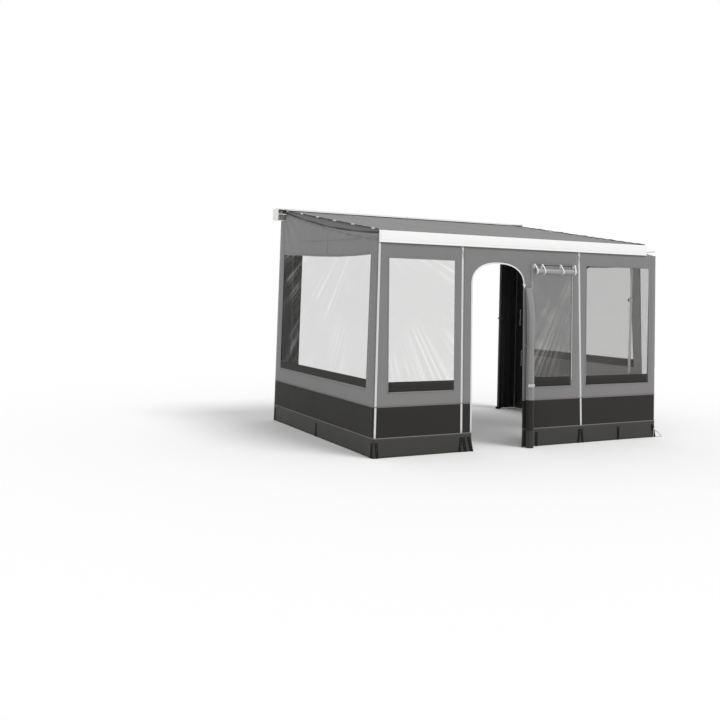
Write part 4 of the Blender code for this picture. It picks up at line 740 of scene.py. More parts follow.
# %% Band and mud wall under the front panels
def skirt_folds(strength, shift):
    """Short waves that deepen towards the ground."""
    def folds(u, v):
        low = np.clip(1 - v / BAND_TOP, 0, 1)
        waves = np.sin(7.3 * u + shift) * 0.6 + np.sin(17.0 * u + 2 * shift + 4 * v) * 0.4
        return strength * (0.3 + low) * waves
    return folds


def flared(ends):
    """The front wall's place, kicked sideways at a free bottom corner: ends are (where, how far sideways)."""
    def place(u, v, w):
        drop = np.clip(1 - v / BAND_BOTTOM, 0, 1) ** 1.6
        shift = sum(far * np.clip(1 - np.abs(u - end) / 0.16, 0, 1) ** 1.5 for end, far in ends)
        return front_place(u + shift * drop, v, w - np.abs(shift) * drop * 0.25)
    return place


MUD_HEM, GROUND = 0.012, 0.0012
SPREAD, BAND_SEAM, FOOT_SEAM = 0.024 * 1.4, 0.012, 0.010
left_corner, right_corner, zip_foot = corner_x(-1, 0), corner_x(1, 0), zip_x(1, 0)
skirt_runs = {
    "left": (lambda z: corner_x(-1, z), lambda z: DOOR_LEFT, [(DOOR_LEFT, 0.026)],
             [(left_corner + SPREAD, 0.012), (ZIP_LEFT - SPREAD / 2, -0.016), (ZIP_LEFT + SPREAD / 2, 0.016),
              (DOOR_LEFT - 0.034, 0.018)]),
    "right": (lambda z: DOOR_RIGHT, lambda z: corner_x(1, z), [(right_corner, 0.022), (DOOR_RIGHT, -0.008)],
              [(DOOR_RIGHT + 0.192, 0), (zip_foot - SPREAD / 2, -0.016), (zip_foot + SPREAD / 2, 0.016),
               ((zip_foot + right_corner) / 2, 0), (right_corner - SPREAD, 0.014)])}
for label, (left, right, flares, ladders) in skirt_runs.items():
    node, place = "front_%s_skirt" % label, flared(flares)
    band_outline = bounded(left, right, BAND_BOTTOM, BAND_TOP, 5)
    band = hang("cloth_band_" + label, cut_panel(band_outline), front_place, BAND_CLOTH,
                skirt_folds(0.0015, 1.0), CLOTH)
    settle(band, "rail", node, True)
    mud_outline = bounded(left, right, GROUND, BAND_BOTTOM, 5)
    mud = hang("cloth_mud_" + label, cut_panel(mud_outline, (), 0.025), place, MUD_CLOTH,
               skirt_folds(0.0022, 2.0), CLOTH)
    settle(mud, "rail", node)
    for height, width, finish, title in ((BAND_TOP, BAND_SEAM, SEAM_THREAD, "top"),
                                         (BAND_BOTTOM, FOOT_SEAM, SEAM_THREAD, "foot"),
                                         (MUD_HEM / 2 + GROUND, MUD_HEM, HEM_BLACK, "hem")):
        ribbon("seam_%s_%s" % (label, title), line((left(height), height), (right(height), height)), width,
               place, finish, OUTSIDE, TAPE_PROUD, "rail", node)
    for n, (x, lean) in enumerate(ladders):
        rubber_ladder("ladder_front_%s_%d" % (label, n), x, place, "rail", node, lean)
print(len(skirt_runs), "front skirts with", sum(len(run[3]) for run in skirt_runs.values()), "peg ladders")

# %% [markdown]
# ## Zips, piping, door roll and blind
# The white zips are two tapes with a row of teeth between them. They run the whole height of the
# panels and the band, where the panels can be taken out. The doorway is edged with white piping, a
# thin cord in a folded tape. The door leaf is rolled sideways against its jamb and tied at its waist.

# %% Upright zips with teeth
TOOTH_PITCH, TOOTH_ACROSS, TOOTH_UP, TOOTH_PROUD, ZIP_PROUD = 0.008, 0.0035, 0.0028, 0.0016, 0.0009
TOOTH_SQUARE = ((-1, -1), (1, -1), (1, 1), (-1, 1))
TOOTH_FACES = ((3, 2, 1, 0), (4, 5, 6, 7), (0, 1, 5, 4), (1, 2, 6, 5), (2, 3, 7, 6), (3, 0, 4, 7))


def upright_zip(label, edge, node):
    """Two sewn tapes and the raised teeth between them, from the rail down to the mud wall."""
    tall = PLANE_TOP - BAND_BOTTOM
    heights = [BAND_BOTTOM + tall * n / 40 for n in range(41)]
    for side, title in ((-1, "inner"), (1, "outer")):
        path = [(edge(z) + side * ZIP_WIDTH * 0.27, z) for z in heights]
        ribbon("zip_tape_%s_%s" % (label, title), path, ZIP_WIDTH * 0.46, front_place, ZIP_WHITE, OUTSIDE,
               ZIP_PROUD, "rail", node)
    points, faces = [], []
    for n in range(int(tall / TOOTH_PITCH)):
        z = BAND_BOTTOM + TOOTH_PITCH * (n + 0.5)
        middle = edge(z) + 0.0012 * (1 if n % 2 else -1)
        faces += [tuple(len(points) + k for k in face) for face in TOOTH_FACES]
        for size, w in ((1, OUTSIDE - 0.0004), (0.6, OUTSIDE - 0.0004 - TOOTH_PROUD)):
            points += [at_home(front_place(middle + du * size * TOOTH_ACROSS, z + dv * size * TOOTH_UP, w))
                       for du, dv in TOOTH_SQUARE]
    settle(new_piece("zip_teeth_" + label, points, faces, ZIP_WHITE, smooth=False), "rail", node)


def zip_edge(side):
    return lambda z: zip_x(side, z) + side * (TOUCH + ZIP_WIDTH / 2)


upright_zip("left", zip_edge(-1), "front_left_panel")
upright_zip("right", zip_edge(1), "front_right_panel")
upright_zip("corner", lambda z: corner_x(-1, z) + 0.001 + ZIP_WIDTH / 2, "front_left_panel")
print("three zips")


# %% Door piping with its pull tab
def round_cord(name, path, radius, finish, body, node, sides=8, caps=True):
    """A round cord or bead along a path of 3-D points in the awning's own frame."""
    mesh, rings, lift = bmesh.new(), [], None
    path = [Vector(p) for p in path]
    for n, p in enumerate(path):
        along = (path[min(n + 1, len(path) - 1)] - path[max(n - 1, 0)]).normalized()
        if lift is None:
            lift = along.orthogonal().normalized()
        lift = (lift - along * lift.dot(along)).normalized()
        beside = along.cross(lift)
        here = radius(n / (len(path) - 1)) if callable(radius) else radius
        rings.append([mesh.verts.new(p + HOME + (c * lift + s * beside) * here) for c, s in circle(sides)])
    bridge(mesh, rings, caps)
    return settle(from_bmesh(name, mesh, finish), body, node)


PIPING, PIPING_PROUD, BEAD_RADIUS, BEAD_OUT = 0.014, 0.002, 0.0032, 0.003
jamb_heights = [BAND_BOTTOM + (DOOR_SPRING - BAND_BOTTOM) * n / 30 for n in range(30)]
edge_path = [(DOOR_LEFT - PIPING * 0.55, z) for z in jamb_heights] + door_arch(PIPING * 0.55)[::-1]
piping_tape = ribbon("door_piping_tape", edge_path, PIPING, front_place, WHITE_CLOTH, -TOUCH, PIPING_PROUD,
                     "rail", "door_piping")
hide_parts("door_piping")
bead = [(DOOR_LEFT - BEAD_OUT, z) for z in jamb_heights] + door_arch(BEAD_OUT)[::-1]
round_cord("door_piping_bead", [front_place(u, v, -0.0035) for u, v in bead], BEAD_RADIUS, WHITE_CLOTH,
           "rail", "door_piping", 10)
tab = [(DOOR_RIGHT + 0.006 + x, DOOR_SPRING + z)
       for x, z in ((-0.020, 0.014), (-0.004, 0.006), (0.022, 0.012), (0.003, -0.032))]
pull = hang("door_pull_tab", cut_panel(tab, (), 0.006), front_place, WHITE_CLOTH,
            lambda u, v: 0.002 * np.sin(60 * v), -0.006)
settle(pull, "rail", "door_piping")
print("piping", len(edge_path), "stations round the door")

# %% Rolled door leaf
ROLL_X, ROLL_RADIUS, ROLL_TOP, ROLL_BOTTOM, ROLL_OUT = 0.056, 0.046, 1.7, 0.004, 0.0045
ROLL_SIDES, ROLL_ROWS, TIE_AT, TIE_BAND, TIE_SKIN = 72, 84, 1.08, 0.016, 0.0012


def roll_radius(z, angle):
    """A spiral leaf in soft upright folds, drawn in at the tie and slack at its ends."""
    waist = math.exp(-((z - TIE_AT) / 0.13) ** 2)
    fold = 0.10 * (0.5 + 0.5 * math.cos(7 * angle + 1.4 * math.sin(z * 2.1) + 0.8 * z))
    fold += 0.05 * math.cos(3 * angle - 2.3 * z + 1) * (1 - waist) + 0.03 * math.sin(12 * z + 2 * angle)
    lip = 0.06 if (angle + 0.4) % math.tau < 0.5 else 0
    return ROLL_RADIUS * min(0.995, 0.93 - fold * 0.7 + lip * 0.5) * (1 - 0.17 * waist)


mesh, rings = bmesh.new(), []
heights = [ROLL_BOTTOM + (ROLL_TOP - ROLL_BOTTOM) * n / ROLL_ROWS for n in range(ROLL_ROWS + 1)]
for z in heights:
    close = 1 - 0.12 * max(0.0, (z - ROLL_TOP + 0.04) / 0.04) ** 2
    flat = 1 - 0.80 * max(0.0, (z - ROLL_TOP + 0.32) / 0.32) ** 1.5
    ring = []
    for k in range(ROLL_SIDES):
        angle = math.tau * k / ROLL_SIDES
        radius = roll_radius(z, angle) * close
        depth = (radius * math.sin(angle) - ROLL_RADIUS) * flat - ROLL_OUT
        ring.append(mesh.verts.new(at_home(front_place(ROLL_X + radius * math.cos(angle), z, depth))))
    rings.append(ring)
for n, face in enumerate(bridge(mesh, rings, ends=False)):
    z = heights[n // ROLL_SIDES]
    face.material_index = 2 if z < BAND_BOTTOM - 0.01 else 1 if z < BAND_TOP - 0.01 else 0
for ring in (rings[0][::-1], rings[-1]):
    hub = mesh.verts.new(sum((v.co for v in ring), Vector()) / ROLL_SIDES)
    for k in range(ROLL_SIDES):
        mesh.faces.new((ring[k], ring[(k + 1) % ROLL_SIDES], hub))
# The roll's upper zone wears the lighter door cloth: painted light against the shade on its rounded side.
door_roll = from_bmesh("cloth_door_roll", mesh, DOOR_CLOTH_PAINTED_LIGHTER, BAND_CLOTH, MUD_CLOTH)
settle(door_roll, "rail", "door_roll", True)
print("door roll", round(ROLL_TOP - ROLL_BOTTOM, 3), "m long")

# %% The door's strap, its toggle and its loops
grip, points = ROLL_RADIUS * 0.83 + TIE_SKIN, []
for n in range(49):
    way = Vector((math.cos(math.tau * n / 48), math.sin(math.tau * n / 48), 0))
    for v, swell in ((-1, 0), (-0.6, 0.0009), (0.6, 0.0009), (1, 0)):
        round_roll = way * (grip + swell)
        place = front_place(ROLL_X + round_roll.x, TIE_AT + v * TIE_BAND / 2,
                            round_roll.y - ROLL_RADIUS - TIE_SKIN)
        points.append(at_home(place))
# The strap wears the same lighter-painted door cloth.
tie = thicken(new_piece("door_tie_strap", points, grid_faces(48, 3), DOOR_CLOTH_PAINTED_LIGHTER), TIE_SKIN, 1)
settle(tie, "rail", "door_tie", True)
TOGGLE_AT, TOGGLE_X, TOGGLE_RADIUS = 0.665, ROLL_X - 0.034, 0.0062
toggle_depth = -ROLL_RADIUS * 1.9 - TIE_SKIN + 0.012
toggle = [front_place(TOGGLE_X - 0.004 + 0.008 * n / 12, TOGGLE_AT - 0.020 + 0.036 * n / 12, toggle_depth)
          for n in range(13)]
round_cord("door_tie_toggle", toggle, lambda s: TOGGLE_RADIUS * (1 - abs(2 * s - 1) ** 6 * 0.7), WHITE_CAP,
           "rail", "door_tie", 16)
for n, (swing, drop, thick) in enumerate(((0.80, 0.003, 0.0028), (0.62, -0.006, 0.0022))):
    loop = []
    for turn in [math.tau * k / 40 for k in range(41)]:
        angle, reach = -1.62 - swing * math.cos(turn), ROLL_RADIUS * 0.98 + 0.004
        loop.append(front_place(ROLL_X + reach * math.cos(angle), TOGGLE_AT + drop + 0.009 * math.sin(turn),
                                reach * math.sin(angle) - ROLL_RADIUS - ROLL_OUT))
    round_cord("door_tie_loop_%d" % n, loop, thick, WHITE_CLOTH, "rail", "door_tie", caps=False)
print("strap, toggle and loops")

# %% Cords beside the middle window, and a corner gusset on the right one
middle_left, middle_right, middle_top = WINDOWS["middle"]
for title, x, low in (("left", middle_left - 0.010, 0.665), ("right", middle_right + 0.008, 0.70)):
    path = [front_place(x, low + (middle_top - low) * n / 60, -0.0022) for n in range(61)]
    round_cord("window_cord_" + title, path, lambda s: 0.0020 + 0.0008 * (round(s * 60) % 3 == 0),
               WHITE_CLOTH, "rail", "front_middle_panel")
corner_cord = [front_place(corner_x(1, z) - 0.003, z, -0.0016)
               for z in [BAND_BOTTOM + 0.62 * n / 40 for n in range(41)]]
round_cord("corner_cord_right", corner_cord, 0.0026, WHITE_CLOTH, "rail", "front_right_panel")
gusset = [(0.869, 1.957), (0.869, 1.928), (0.889, 1.938), (0.925, 1.957)]
patch = hang("window_gusset", cut_panel(gusset, (), 0.012), front_place, BAND_CLOTH, None, 0.0004)
settle(patch, "rail", "front_right_panel")
print("window cords and gusset")

# %% Rolled window blind
BLIND_LEFT, BLIND_RIGHT, BLIND_AT, BLIND_RADIUS, BLIND_ROWS, BLIND_SIDES = 0.120, 0.681, 1.882, 0.031, 60, 48
STRAP_WIDTH, STRAP_SKIN, STRAP_RISE, blind_depth = 0.016, 0.0012, 0.045, -BLIND_RADIUS - 0.0031
strap_places = [BLIND_LEFT + 0.018, 0.240, 0.490, 0.655]
mesh, rings = bmesh.new(), []
for n in range(BLIND_ROWS + 1):
    x = BLIND_LEFT + (BLIND_RIGHT - BLIND_LEFT) * n / BLIND_ROWS
    pinch = max(math.exp(-((x - s) / 0.02) ** 2) for s in strap_places)
    ring = []
    for k in range(BLIND_SIDES):
        angle = math.tau * k / BLIND_SIDES
        spiral = 0.97 - 0.05 * (0.5 + 0.5 * math.cos(2 * angle + 5 * x)) - 0.03 * math.sin(9 * x + 3 * angle)
        spiral -= 0.06 * pinch + (0.08 if (angle + 0.5) % math.tau < 0.35 else 0)
        radius = BLIND_RADIUS * min(spiral, 0.99)
        ring.append(mesh.verts.new(at_home(front_place(x, BLIND_AT + radius * math.sin(angle),
                                                       blind_depth + radius * math.cos(angle)))))
    rings.append(ring)
bridge(mesh, rings, ends=False)
for ring, way in ((rings[0], 1), (rings[-1], -1)):
    centre, turns = sum((v.co for v in ring), Vector()) / BLIND_SIDES, [ring]
    for step, sunk in ((0.82, 0.0005), (0.8, 0.004), (0.5, 0.0005), (0.45, 0.004), (0.2, 0.0005)):
        turns.append([mesh.verts.new(centre + (v.co - centre) * step + Vector((sunk * way, 0, 0)))
                      for v in ring])
    bridge(mesh, turns, ends=False)
    mesh.faces.new(turns[-1])
blind = from_bmesh("cloth_blind_roll", mesh, SILVER_CLOTH)
settle(blind, "rail", "blind_roll", True)
for n, x in enumerate(strap_places):
    points, lean = [], 0.024 if n < 3 else -0.012
    for k in range(61):
        angle = math.tau * k / 60
        up = max(0.0, math.sin(angle)) ** 1.5
        for u, swell in ((-1, 0.0), (-0.7, 0.0008), (0.7, 0.0008), (1, 0.0)):
            reach = BLIND_RADIUS + 0.0008 + swell
            points.append(at_home(front_place(
                x + u * STRAP_WIDTH * 0.55 - lean * up, BLIND_AT + reach * math.sin(angle) + STRAP_RISE * up,
                blind_depth + reach * math.cos(angle) * (1 - 0.35 * up))))
    strap = new_piece("blind_strap_%d" % n, points, grid_faces(60, 3), WHITE_CLOTH)
    settle(thicken(strap, STRAP_SKIN, 1), "rail", "blind_roll")
print("blind", round(BLIND_RIGHT - BLIND_LEFT, 3), "m wide in", len(strap_places), "straps")

# %% [markdown]
# ## Side walls
# A side wall hangs from a curved zip under the roof's edge. Its cloth is one sheet with a long window,
# and the band and the mud wall are sewn on below. The left wall is the one in view; the right wall
# shows from inside through the windows. Their cloth ripples from the caravan towards the front.

# %% Shapes of the side walls
SIDES = ((-1, "left"), (1, "right"))
WALL_REAR, NOTCH, WALL_TOP, TOP_REAR = CARAVAN_PLANE - TOUCH, ROOF_REAR - 0.14, 2.4885, -0.07
GLASS_REAR, FRONT_HEAD, STRIP_DEPTH = -0.04, 1.999, 0.095
WINDOW_HEAD = [(GLASS_REAR, 2.07), (-0.58, 2.044), (-1.03, 2.02), (-1.6, 1.999), (-2.02, 1.995)]
SIDE_FRONT, SIDE_SILL = {-1: (-2.375, -2.375), 1: (-2.225, -2.125)}, {-1: 0.757, 1: 0.88}


def side_window(side):
    """The clear part of a side wall: its foot, then its slightly sagging head from the caravan forwards."""
    (foot, head), sill = SIDE_FRONT[side], SIDE_SILL[side]
    return [(foot, sill), (GLASS_REAR, sill), *WINDOW_HEAD, (head, FRONT_HEAD)]


def side_strip(side):
    """The dark strip under a side window."""
    front, rear, sill = SIDE_FRONT[side][0] + TOUCH, GLASS_REAR - TOUCH, SIDE_SILL[side]
    return [(front, sill - STRIP_DEPTH), (rear, sill - STRIP_DEPTH), (rear, sill), (front, sill)]


def side_hole(side):
    """The hole in a side wall's cloth: the window and the strip under it."""
    (front, low), (_, foot) = side_strip(side)[:2]
    return [(front - TOUCH, low - TOUCH), (GLASS_REAR, foot - TOUCH), *side_window(side)[2:]]


def skirt_outline(low, high):
    return [(front_y(low), low), (WALL_REAR, low), (WALL_REAR, high), (front_y(high), high)]


def level_line(front, height):
    """A level path from the wall's front edge, taken at one height, back to the caravan."""
    return line((front_y(front), height), (WALL_REAR, height))


FRONT_SLIT = [(-2.432, 0.70), (-2.356, 0.70), (-2.284, 2.0), (-2.424, 2.0)]
side_holes = {-1: [side_hole(-1)], 1: [side_hole(1), FRONT_SLIT]}


def front_dip(y, side):
    """The right wall's top edge drops behind the front panel's corner; the left one meets the rail."""
    return min(1, max(0, (-2.2 - y) / 0.27)) ** 2 if side > 0 else 0.0


def eave_low(y, side=-1):
    """The height of a side wall's top edge, which sags between the cassette and the rail."""
    share = (TOP_REAR - y) / (TOP_REAR + PROJECTION)
    drop = 0.036 + 0.054 * share + 0.027 * 4 * share * (1 - share)
    return roof_height(y) - drop - 0.031 * front_dip(y, side)


def eave_line(points=24, lift=0.0, side=-1):
    stations = [TOP_REAR + (-PROJECTION - TOP_REAR) * n / points for n in range(points + 1)]
    return [(y, eave_low(y, side) + lift) for y in stations]


def inset(outline, by):
    """The outline drawn in towards its middle, for a straight-sided convex shape."""
    centre, made = np.mean(outline, axis=0), []
    for out in [np.array(p) - centre for p in outline]:
        made.append(tuple(centre + out * (1 - by / max(1e-6, np.linalg.norm(out)))))
    return made


def side_folds(strength, shift):
    """Slow ripples along the wall, with a fan of creases from its upper corner at the caravan."""
    def folds(u, v):
        slow = np.sin(2.1 * u + 0.9 * v + shift) + 0.5 * np.sin(5.3 * u - 1.7 * v + 2 * shift)
        top = np.clip((v - 1.9) / 0.6, 0, 1)
        run, drop = 0.05 - u, 2.62 - v
        fan = np.exp(-(run ** 2 + drop ** 2) / 0.42) * np.sin(15 * np.arctan2(run, drop) + shift)
        return strength * (slow * 0.6 + top * np.sin(14 * u + 3 * v + shift) * 0.35 + fan * 1.5)
    return folds


for side, label in SIDES:
    print(label, "side window", round(area_of(side_window(side)), 3), "m2")


# %% Side walls, windows, bands and mud walls
def squashed(piece):
    """Hardens a piece and gives it a mesh of its own."""
    harden(piece)
    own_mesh(piece)
    return piece


def side_sheet(name, outline, step, place, finish, folds, node, stands_for=False, holes=(), depth=CLOTH,
               thick=CLOTH, **held):
    """One sheet of a side wall: cut, hung, set to ride the cassette, and hardened."""
    piece = hang(name, cut_panel(outline, holes, step), place, finish, folds, depth, thick)
    squashed(settle(piece, "cassette", node, stands_for))
    return piece


for side, label in SIDES:
    place, wall_node, skirt_node = side_place(side), label + "_side_wall", label + "_side_skirt"
    outline = [(front_y(SEWN), SEWN), (WALL_REAR, SEWN), (WALL_REAR, WALL_TOP), (TOP_REAR, WALL_TOP),
               *eave_line(24, -TOUCH, side)]
    wall = side_sheet("cloth_side_" + label, outline, 0.04, place, WALL_CLOTH, side_folds(0.004, 1.3 + side),
                      wall_node, True, side_holes[side], held="hung",
                      rests_on=["roof_canopy", "wall_mounting_rail"])
    # Inner faces take the pale painted light; the right wall's inner face near the caravan takes painted
    # shade.
    wall.data.materials.append(INNER_FACE_PAINTED_LIGHT)
    wall.data.materials.append(PAINTED_SHADE_CLOTH)
    for face in wall.data.polygons:
        within = face.normal.x * side < -0.5
        in_caravan_shade = side > 0 and face.center.y > HOME.y - 0.06
        face.material_index = 0 if not within else 2 if in_caravan_shade else 1
    finish = clear_film("clear_film_side_" + label, (HOME.y - 2.65, 2.9), "Y", CREASE_GLINT_RANGES[label],
                        (0.055, 0.053, 0.05), 0.2)
    clear = {"depth": FILM_DEPTH, "thick": FILM, "rests_on": [wall.name]}
    side_sheet("film_side_" + label, inset(side_window(side), TOUCH * 2), 0.035, place, finish,
               film_folds(-2.375, BLACKOUT, 2.05, 0.003, 7 + side), label + "_side_window", True,
               **clear)
    if side > 0:
        side_sheet("film_side_right_front", inset(FRONT_SLIT, TOUCH * 2), 0.035, place, finish,
                   film_folds(-2.41, BLACKOUT, 2.05, 0.002, 3), "right_side_window", **clear)
    side_sheet("dark_strip_side_" + label, side_strip(side), 0.05, place, BAND_CLOTH, None, wall_node,
               rests_on=[wall.name])
    band = side_sheet("cloth_band_side_" + label, skirt_outline(BAND_BOTTOM, BAND_TOP), 0.04, place,
                      BAND_CLOTH, skirt_folds(0.0018, 3.0 + side), skirt_node, True, held="hung",
                      rests_on=[wall.name])
    side_sheet("cloth_mud_side_" + label, skirt_outline(GROUND, BAND_BOTTOM), 0.035, place, MUD_CLOTH,
               skirt_folds(0.003, 5.0 + side), skirt_node, held="hung", rests_on=[band.name])
    top_seam = [(WALL_REAR - 0.01 - 2.61 * n / 30, 2.158 + 0.08 * (1 - n / 30) ** 1.8) for n in range(31)]
    tapes = [
        ("window", closed_path([*side_strip(side)[:2], *side_window(side)[2:]]), 0.016, WALL_CLOTH),
        ("band_top", level_line(BAND_TOP, BAND_TOP), BAND_SEAM, SEAM_THREAD),
        ("band_foot", level_line(BAND_BOTTOM, BAND_BOTTOM), FOOT_SEAM, SEAM_THREAD),
        ("hem", level_line(0, GROUND + MUD_HEM / 2), MUD_HEM, HEM_BLACK),
        ("top_seam", top_seam, 0.005, WALL_CLOTH),
        ("joint_seam", line((-1.32, 2.26), (-1.32, 2.035)), 0.005, WALL_CLOTH),
        ("eave_seam", eave_line(40, -0.004, side), 0.006, WALL_CLOTH)]
    for title, path, width, finish in tapes:
        node = skirt_node if title.startswith(("band", "hem")) else wall_node
        squashed(ribbon("seam_side_%s_%s" % (label, title), path, width, place, finish, OUTSIDE, TAPE_PROUD,
                        "cassette", node))
    for n, y in enumerate((WALL_REAR - SPREAD, (WALL_REAR - PROJECTION) / 2, front_y(0) + SPREAD)):
        squashed(rubber_ladder("ladder_side_%s_%d" % (label, n), y, place, "cassette", skirt_node))
print("two side walls with", len(tapes), "seams each")

# %% Eave strips and their double zip line
EAVE_COLUMNS, EAVE_ROWS, EAVE_DROP, ROOF_UNDER = 60, 6, {-1: 0.13, 1: 0.22}, 0.0036


def zip_line(y):
    """The zip that closes the side wall to the roof: it sags between the cassette and the rail."""
    share = (TOP_REAR - y) / (TOP_REAR + PROJECTION)
    sag = 0.024 + 0.052 * math.sin(math.pi * min(1, max(0, share))) ** 0.8
    return max(roof_height(y) - sag, eave_low(y) + 0.010)


def eave_place(side):
    """Across the strip under the roof's edge: upright on the left, sloping outwards on the right."""
    def place(y, z, w):
        if side < 0:
            return wall_x(side, z) + side * (CLOTH * 2 - w), y, z
        low, high = eave_low(y, side) + TOUCH, roof_height(y) - ROOF_UNDER
        share = (z - low) / (high - low)
        dip = front_dip(y, side) * (high - low + 0.004) * share
        return wall_x(side, low) * (1 - share) + (HALF_RAIL + 0.002) * share + CLOTH * 2 - w, y, z - dip
    return place


def eave_strip(side, label):
    """The strip from the side wall up to the roof, and the two black tapes of its zip."""
    place, node, points = eave_place(side), label + "_eave_strip", []
    for n in range(EAVE_COLUMNS + 1):
        y = TOP_REAR + (-PROJECTION - TOP_REAR) * n / EAVE_COLUMNS
        low, middle, high = eave_low(y, side) + TOUCH, zip_line(y), roof_height(y) - ROOF_UNDER
        heights = [low + (middle - low) * k / 3 for k in range(3)]
        heights += [middle + (high - middle) * k / 3 for k in range(4)]
        for k, z in enumerate(heights):
            belly = 0.0022 * math.sin(math.pi * k / EAVE_ROWS) * math.sin(9 * y + k / 3)
            points.append(at_home(place(y, z, CLOTH - belly)))
    strip = new_piece("cloth_eave_" + label, points, grid_faces(EAVE_COLUMNS, EAVE_ROWS), WALL_CLOTH)
    strip.data.materials.append(ROOF_CLOTH)
    for face in strip.data.polygons:
        face.material_index = 1 if face.index % EAVE_ROWS > 2 else 0
    squashed(settle(thicken(strip, CLOTH), "cassette", node, True))
    for title, lift in (("upper", 0.0045), ("lower", -0.0045)):
        path = [(y, zip_line(y) + lift) for y, _ in eave_line(60)]
        squashed(ribbon("zip_eave_%s_%s" % (label, title), path, 0.0065, place, HEM_BLACK, OUTSIDE, 0.0018,
                        "cassette", node))


print("zip line from", round(zip_line(TOP_REAR), 3), "down to", round(zip_line(-PROJECTION), 3), "m")


# %% Black flaps at the caravan
FLAP_ROWS, FLAP_COLUMNS, FLAP_WIDTH, FLAP_SKIN, FLAP_Y = 24, 36, 0.30, 0.0018, 0.1


def rear_flap(side, label):
    """A black flap along the caravan's wall, which hangs in three waves that deepen towards the ground."""
    points, node = [], label + "_rear_flap"
    for n in range(FLAP_ROWS + 1):
        z = 0.004 + (NOTCH - 0.006) * n / FLAP_ROWS
        for share in [k / FLAP_COLUMNS for k in range(FLAP_COLUMNS + 1)]:
            x = corner_x(side, z) - side * (0.004 + (FLAP_WIDTH - 0.004) * (1 - share))
            wave = 0.008 * (0.25 + 1 - z / NOTCH) * math.sin(math.tau * 3 * share + 0.5 * z)
            points.append(at_home((x, FLAP_Y + wave, z)))
    flap = new_piece("cloth_flap_" + label, points, grid_faces(FLAP_ROWS, FLAP_COLUMNS), FLAP_CLOTH)
    settle(thicken(flap, FLAP_SKIN), "cassette", node, True)


for side, label in SIDES:
    eave_strip(side, label)
    rear_flap(side, label)
print("eave strips", EAVE_DROP, "m deep, and two flaps", round(NOTCH, 3), "m long")

# %% Painted shade sheet behind the right wall, with its ties
PAINTED_SHADE_IN, TIE_IN = CLOTH * 2 + 0.006, CLOTH * 2 + 0.0115
# A near-black sheet inside the right wall by the caravan: painted shade where the caravan blocks the light.
painted_shade_outline = [(-0.20, 0.25), (0.085, 0.05), (0.085, NOTCH - 0.01), (-0.075, NOTCH - 0.01), (-0.14, 2.2)]
side_sheet("painted_shade_sheet_right", painted_shade_outline, 0.035, side_place(1), PAINTED_SHADE_CLOTH,
           lambda u, v: 0.003 * np.sin(31 * u + 2 * v), "right_rear_flap", depth=PAINTED_SHADE_IN, held="hung",
           rests_on=["right_side_wall"])
for n, (y, low, high) in enumerate(((-0.015, 1.2, 1.42), (-0.06, 0.62, 0.84))):
    path = [side_place(1)(y, low + (high - low) * k / 10, TIE_IN + 0.002 * math.sin(k)) for k in range(11)]
    squashed(round_cord("shade_sheet_tie_%d" % n, path, lambda s: 0.003 + 0.0035 * (abs(2 * s - 1) > 0.8),
                        WHITE_CAP, "cassette", "right_rear_flap"))
# The printed area is that of the painted shade sheet.
print("lining", round(area_of(painted_shade_outline), 3), "m2")

# %% [markdown]
# ## Roof
# The roof comes off the roller as one woven sheet and is held by the rail's groove. Between rafters it
# sags a little, and its loose side edges ripple between the clips that hold the side walls' beading.

# %% Roof cloth
ROOF_FRONT, ROOF_BACK = (RAIL_FRONT + RAIL_REAR * 2) / 3, 0.0413
ROOF_RUN, ROOF_COLUMNS, ROOF_ROWS = ROOF_BACK - ROOF_FRONT, 96, 60
CLIP_PITCH = -(PROJECTION - 0.24) / 5
CLIP_STATIONS = [-0.12 + CLIP_PITCH * n for n in range(6)]


def roof_place(u, v, w):
    """Roof: across, along its slope by y, and depth below its top face."""
    return u, v, roof_height(v) - w


def roof_folds(u, v):
    """How far the cloth stands up (+) or sags (-) from its straight line."""
    side = np.abs(u) / HALF_RAIL
    along = np.clip((v - ROOF_FRONT) / ROOF_RUN, 0, 1)
    held = np.clip((along - 0.115) / 0.16, 0, 1)
    free = np.sin(math.pi * along) ** 0.7 * held ** 2 * (3 - 2 * held)
    sag = -0.010 * free * (1 - side ** 4)
    ripple = 0.0035 * side ** 6 * np.cos((v - CLIP_STATIONS[0]) / CLIP_PITCH * math.tau)
    waves = 0.0028 * np.sin(6.3 * u + 1.7 * v) + 0.0018 * np.sin(13.0 * u - 2.2 * v + 0.6)
    near_roller = 0.0045 * np.exp(-((v + 0.55) / 0.4) ** 2)
    waves = waves + near_roller * np.sin(8.7 * u + 1.5 * np.sin(1.9 * u) + 2.6 * v)
    return sag + (ripple + waves * (1 - side ** 8)) * free


def on_roof(piece, stands_for=False):
    """The piece rides the cassette's body with the roof, and is hardened."""
    return squashed(settle(piece, "cassette", "roof_canopy", stands_for))


points = []
for v in [ROOF_FRONT + ROOF_RUN * n / ROOF_ROWS for n in range(ROOF_ROWS + 1)]:
    for u in [-HALF_RAIL + 2 * HALF_RAIL * k / ROOF_COLUMNS for k in range(ROOF_COLUMNS + 1)]:
        points.append(at_home(roof_place(u, v, CLOTH - roof_folds(u, v))))
roof = thicken(new_piece("cloth_roof", points, grid_faces(ROOF_ROWS, ROOF_COLUMNS), ROOF_CLOTH), CLOTH)
on_roof(roof, True)

# %% Roof hems, clips and beading
CLIP_PROFILE = [(-0.013, -0.0010), (-0.013, 0.006), (-0.009, 0.0095), (0.009, 0.0095), (0.013, 0.006),
                (0.013, -0.0010)]
CLIP_RINGS = ((-0.030, 0.45), (-0.028, 0.75), (-0.022, 1.0), (-0.006, 1.0), (0.0, 0.82), (0.006, 1.0),
              (0.022, 1.0), (0.028, 0.75), (0.030, 0.45))
CLIP_GAP, BEAD_STEPS, BEAD_THICK, HEM_STEPS = 0.034, 24, 0.0048, 60


